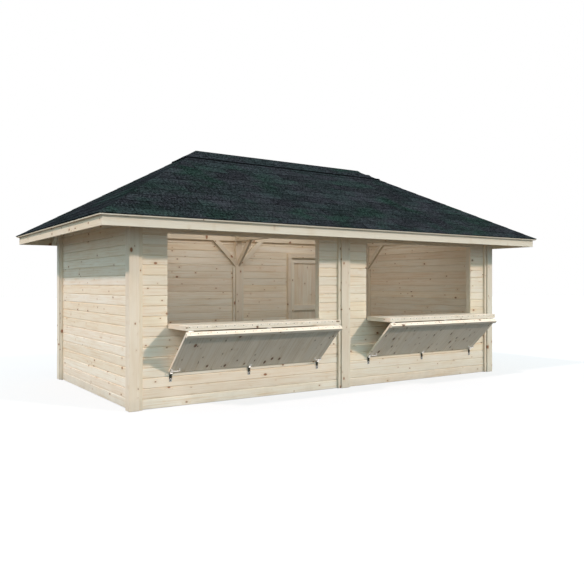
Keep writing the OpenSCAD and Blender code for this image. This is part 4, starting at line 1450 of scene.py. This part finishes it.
def tab_places(slope, slope_key):
    """Course, middle and lower edge of every tab of a slope, and a whole number of its own.

    Each second course is moved by half a tab. Tabs that would lie past a hip are left out."""
    courses = 1 + math.ceil((SLOPE_LENGTH - FIRST_EXPOSURE) / EXPOSURE)
    per_course = 2 * math.ceil(slope.half(0) / TAB_PITCH) + 2
    course, place = (v.ravel() for v in np.meshgrid(np.arange(courses), np.arange(per_course), indexing="ij"))
    middle = (place - (per_course - 1) / 2 + 0.5 * (course % 2)) * TAB_PITCH
    t0 = np.where(course > 0, FIRST_EXPOSURE + (course - 1) * EXPOSURE, 0)
    key = slope_key * 9000 + course * 60 + place
    kept = np.abs(middle) - TAB_PITCH / 2 < slope.half(t0) - HIP_INSET
    return course[kept], middle[kept], t0[kept], key[kept]


def shingle_tabs(slope, slope_key):
    """Square-cut tabs in courses up the slope, with a slot between each two.

    A tab is a grid of s across and t up. Its head runs under the next course, so n falls by the
    tab's own thickness over its exposure, and a small sine wave along s lifts its lower edge.
    Its sides are moved along the eave's direction to stay between the hips."""
    course, middle, t0, key = tab_places(slope, slope_key)
    shown = np.where(course > 0, EXPOSURE, FIRST_EXPOSURE)[:, None, None]
    middle, start = middle[:, None, None], t0[:, None, None]

    rise = np.array([0.0, 0.4, 1.0])[None, :, None]
    share = np.linspace(0, 1, 5)[None, None, :]
    uneven = (TAB_UNEVEN * (hashed(key, 8) - 0.5) * (course > 0))[:, None, None]
    t = np.minimum(start + uneven + rise * (shown + TAB_LAP - uneven), SLOPE_LENGTH - 0.0005)
    slot = (SLOT_HALF + SLOT_SPREAD * hashed(key, 9))[:, None, None]
    limit = np.maximum(slope.half(t), LEAST_TAB)
    left = np.clip(middle - TAB_PITCH / 2 + slot, -limit, limit - LEAST_TAB)
    right = np.clip(middle + TAB_PITCH / 2 - slot, left + LEAST_TAB, limit)
    s = left + share * (right - left)
    t = np.broadcast_to(t, s.shape)
    wave = TAB_WAVE * np.sin(2 * np.pi * (1.3 * s + 7 * hashed(key, 10)[:, None, None])) * (1 - rise)
    n = -TAB_T * (t - start) / shown - np.abs(wave)
    points, faces = closed_sheets(slope.at(s, t, n), slope.at(s, t, n - TAB_T))

    grain = np.stack([s + 90 * slope_key, t, n], -1)
    grain = np.stack([grain, grain - [0, 0, TAB_T]], 1).reshape(-1, 3)
    return points, faces, grain, np.repeat(hashed(key, 7), 2 * s[0].size)


def base_sheet(slope):
    """The felt under the tabs, which closes the layer below their slots."""
    t = np.array([0.001, SLOPE_LENGTH / 2, SLOPE_LENGTH - 0.001])[None, :, None]
    s = np.linspace(-1, 1, 5)[None, None, :] * np.maximum(slope.half(t), 0.002)
    t = np.broadcast_to(t, s.shape)
    points, faces = closed_sheets(slope.at(s, t, -SHEET_DROP), slope.at(s, t, -SHEET_DROP - SHEET_T))
    return points, faces, points + [50, 0, 0], np.full(len(points), 0.3)


def shingles():
    """All tabs of the four slopes and the sheet below them, in one piece."""
    parts = []
    for key, (_, outward, half_ridge) in enumerate(SLOPES):
        slope = Slope(outward, half_ridge)
        parts += [shingle_tabs(slope, key + 1), base_sheet(slope)]
    start = np.cumsum([0] + [len(part[0]) for part in parts])
    faces = np.concatenate([part[1] + first for part, first in zip(parts, start)])
    points, grain, tone = (np.concatenate([part[k] for part in parts]) for k in (0, 2, 3))
    new_piece("bitumen_shingle_tabs", points, [faces], SHINGLE, ["shingles"], grain, tone)


def ridge_cap():
    """Felt folded over the ridge and both its ends, with its lower edge standing proud.

    Its height falls by the rise with the larger of two distances: from the ridge, and past its end."""
    half_y = CAP_HIGH[1]
    # The cap's upright rim takes the granules' near-black, which is partly painted shadow for the dark gap
    # under a lifted cap edge.
    thick = CAP_HIGH[2] - ROOF_HIGH[2]
    y = half_y * np.array([-1, -0.97, -0.5, 0, 0.5, 0.97, 1.0])
    end = RIDGE_HALF + half_y * np.array([0, 0.5, 0.97, 1.0])
    x = np.concatenate([-end[::-1], [-RIDGE_HALF / 2, 0, RIDGE_HALF / 2], end])
    y, x = np.meshgrid(y, x, indexing="ij")
    surface = ROOF_HIGH[2] - RISE * np.maximum(np.abs(y), np.abs(x) - RIDGE_HALF)
    top, bottom = (np.stack([x, y, surface + lift], -1)[None] for lift in (thick, 0.001))
    points, faces = closed_sheets(top, bottom)
    tone = np.full(len(points), 0.5)
    new_piece("ridge_cap_felt", points, [faces], FELT, ["ridge_cap"], points, tone)


def roof():
    """Boards, rafters, fascias, shingles and ridge cap."""
    for name, outward, half_ridge in SLOPES:
        roof_deck(name, Slope(outward, half_ridge))
    common_rafters()
    hip_rafters()
    ridge_beam()
    fascias()
    shingles()
    ridge_cap()


# ---------- floor, light and camera ----------


def seen_directly(g):
    """1 where the camera, metal or glass looks at a surface, and 0 where only light falls on it."""
    path = g.node("ShaderNodeLightPath")
    return g.math("MAXIMUM", path.outputs["Is Camera Ray"],
                  g.math("MAXIMUM", path.outputs["Is Glossy Ray"], path.outputs["Is Transmission Ray"]))


def blend_shaders(g, share, first, second):
    """Two shaders mixed by a share."""
    made = g.node("ShaderNodeMixShader")
    for socket, value in zip(made.inputs, (share, first, second)):
        g.put(socket, value)
    return made.outputs[0]


def floor():
    """A wide pale floor. The camera sees it near white, and it keeps a soft shadow of the hut."""
    half, depth = 60.0, -0.002
    mesh = bpy.data.meshes.new("floor")
    mesh.from_pydata([(-half, -half, depth), (half, -half, depth), (half, half, depth), (-half, half, depth)],
                     [], [(0, 1, 2, 3)])
    obj = bpy.data.objects.new("floor", mesh)
    bpy.context.scene.collection.objects.link(obj)
    material, g, shader = new_material("pale_floor")
    shader.inputs["Base Color"].default_value = (0.05, 0.05, 0.05, 1)
    shader.inputs["Roughness"].default_value = 0.9
    shader.inputs["Specular IOR Level"].default_value = 0.1
    pale = g.node("ShaderNodeBsdfDiffuse")
    pale.inputs["Color"].default_value = (0.8, 0.8, 0.8, 1)
    white = g.node("ShaderNodeEmission")
    seen = blend_shaders(g, 0.72, pale.outputs[0], white.outputs[0])
    chosen = blend_shaders(g, seen_directly(g), shader.outputs[0], seen)
    output = next(n for n in material.node_tree.nodes if n.type == "OUTPUT_MATERIAL")
    g.put(output.inputs["Surface"], chosen)
    mesh.materials.append(material)


def world():
    """A soft, slightly blue dome that the camera, metal and glass see as white."""
    made = bpy.data.worlds.new("studio")
    bpy.context.scene.world = made
    made.use_nodes = True
    made.node_tree.nodes.clear()
    g = Graph(made.node_tree)
    dome = g.node("ShaderNodeBackground")
    dome.inputs["Color"].default_value = (0.68, 0.91, 1.0, 1)
    dome.inputs["Strength"].default_value = 1.05
    white = g.node("ShaderNodeBackground")
    white.inputs["Color"].default_value = (1, 1, 1, 1)
    chosen = blend_shaders(g, seen_directly(g), dome.outputs[0], white.outputs[0])
    g.put(g.node("ShaderNodeOutputWorld").inputs["Surface"], chosen)


def new_lamp(name, kind, colour, strength):
    """A lamp of one kind, and its object."""
    lamp = bpy.data.lights.new(name, kind)
    lamp.color = colour
    lamp.energy = strength
    obj = bpy.data.objects.new(name, lamp)
    bpy.context.scene.collection.objects.link(obj)
    return lamp, obj


def sun(name, travel, colour, strength):
    """A sun lamp whose light travels along a direction, with soft shadow edges."""
    lamp, obj = new_lamp(name, "SUN", colour, strength)
    lamp.angle = math.radians(3.6)
    direction = unit(np.array(travel, float))
    level = math.hypot(direction[0], direction[1])
    turn = math.atan2(direction[1], direction[0]) - math.pi / 2
    obj.rotation_euler = (math.atan2(level, -direction[2]), 0, turn)


def ceiling_lamp():
    """A wide soft lamp under the ridge that fills the room, short enough for the end slopes."""
    lamp, obj = new_lamp("ceiling_lamp", "AREA", (0.96, 0.97, 1.0), 28.0)
    lamp.shape = "RECTANGLE"
    lamp.size = 2 * RIDGE_HALF + 0.9
    lamp.size_y = 0.5
    obj.location = (0, 0.1, PLATE_TOP + 0.6)
    obj.rotation_euler = (math.radians(20), 0, 0)
    obj.visible_camera = False


def camera():
    """A level camera at eye height, left of the front, whose small shift centres the hut."""
    data = bpy.data.cameras.new("camera")
    data.sensor_width = 36
    data.lens = 40.16
    data.shift_y = -0.0133
    obj = bpy.data.objects.new("camera", data)
    bpy.context.scene.collection.objects.link(obj)
    obj.location = (-5.4805, -8.3929, 1.3937)
    obj.rotation_euler = (math.radians(90), 0, math.radians(-33.885))
    bpy.context.scene.camera = obj


timber_frame()
braces()
plank_walls()
battens()
hatches()
door()
roof()
floor()
world()
sun("sun_right", travel=(-0.465, 0.745, -0.48), colour=(1.0, 0.83, 0.76), strength=1.66)
sun("sun_left", travel=(0.68, 0.1, -0.73), colour=(1.0, 0.79, 0.76), strength=1.95)
ceiling_lamp()
camera()
bpy.context.scene.view_settings.view_transform = "Standard"
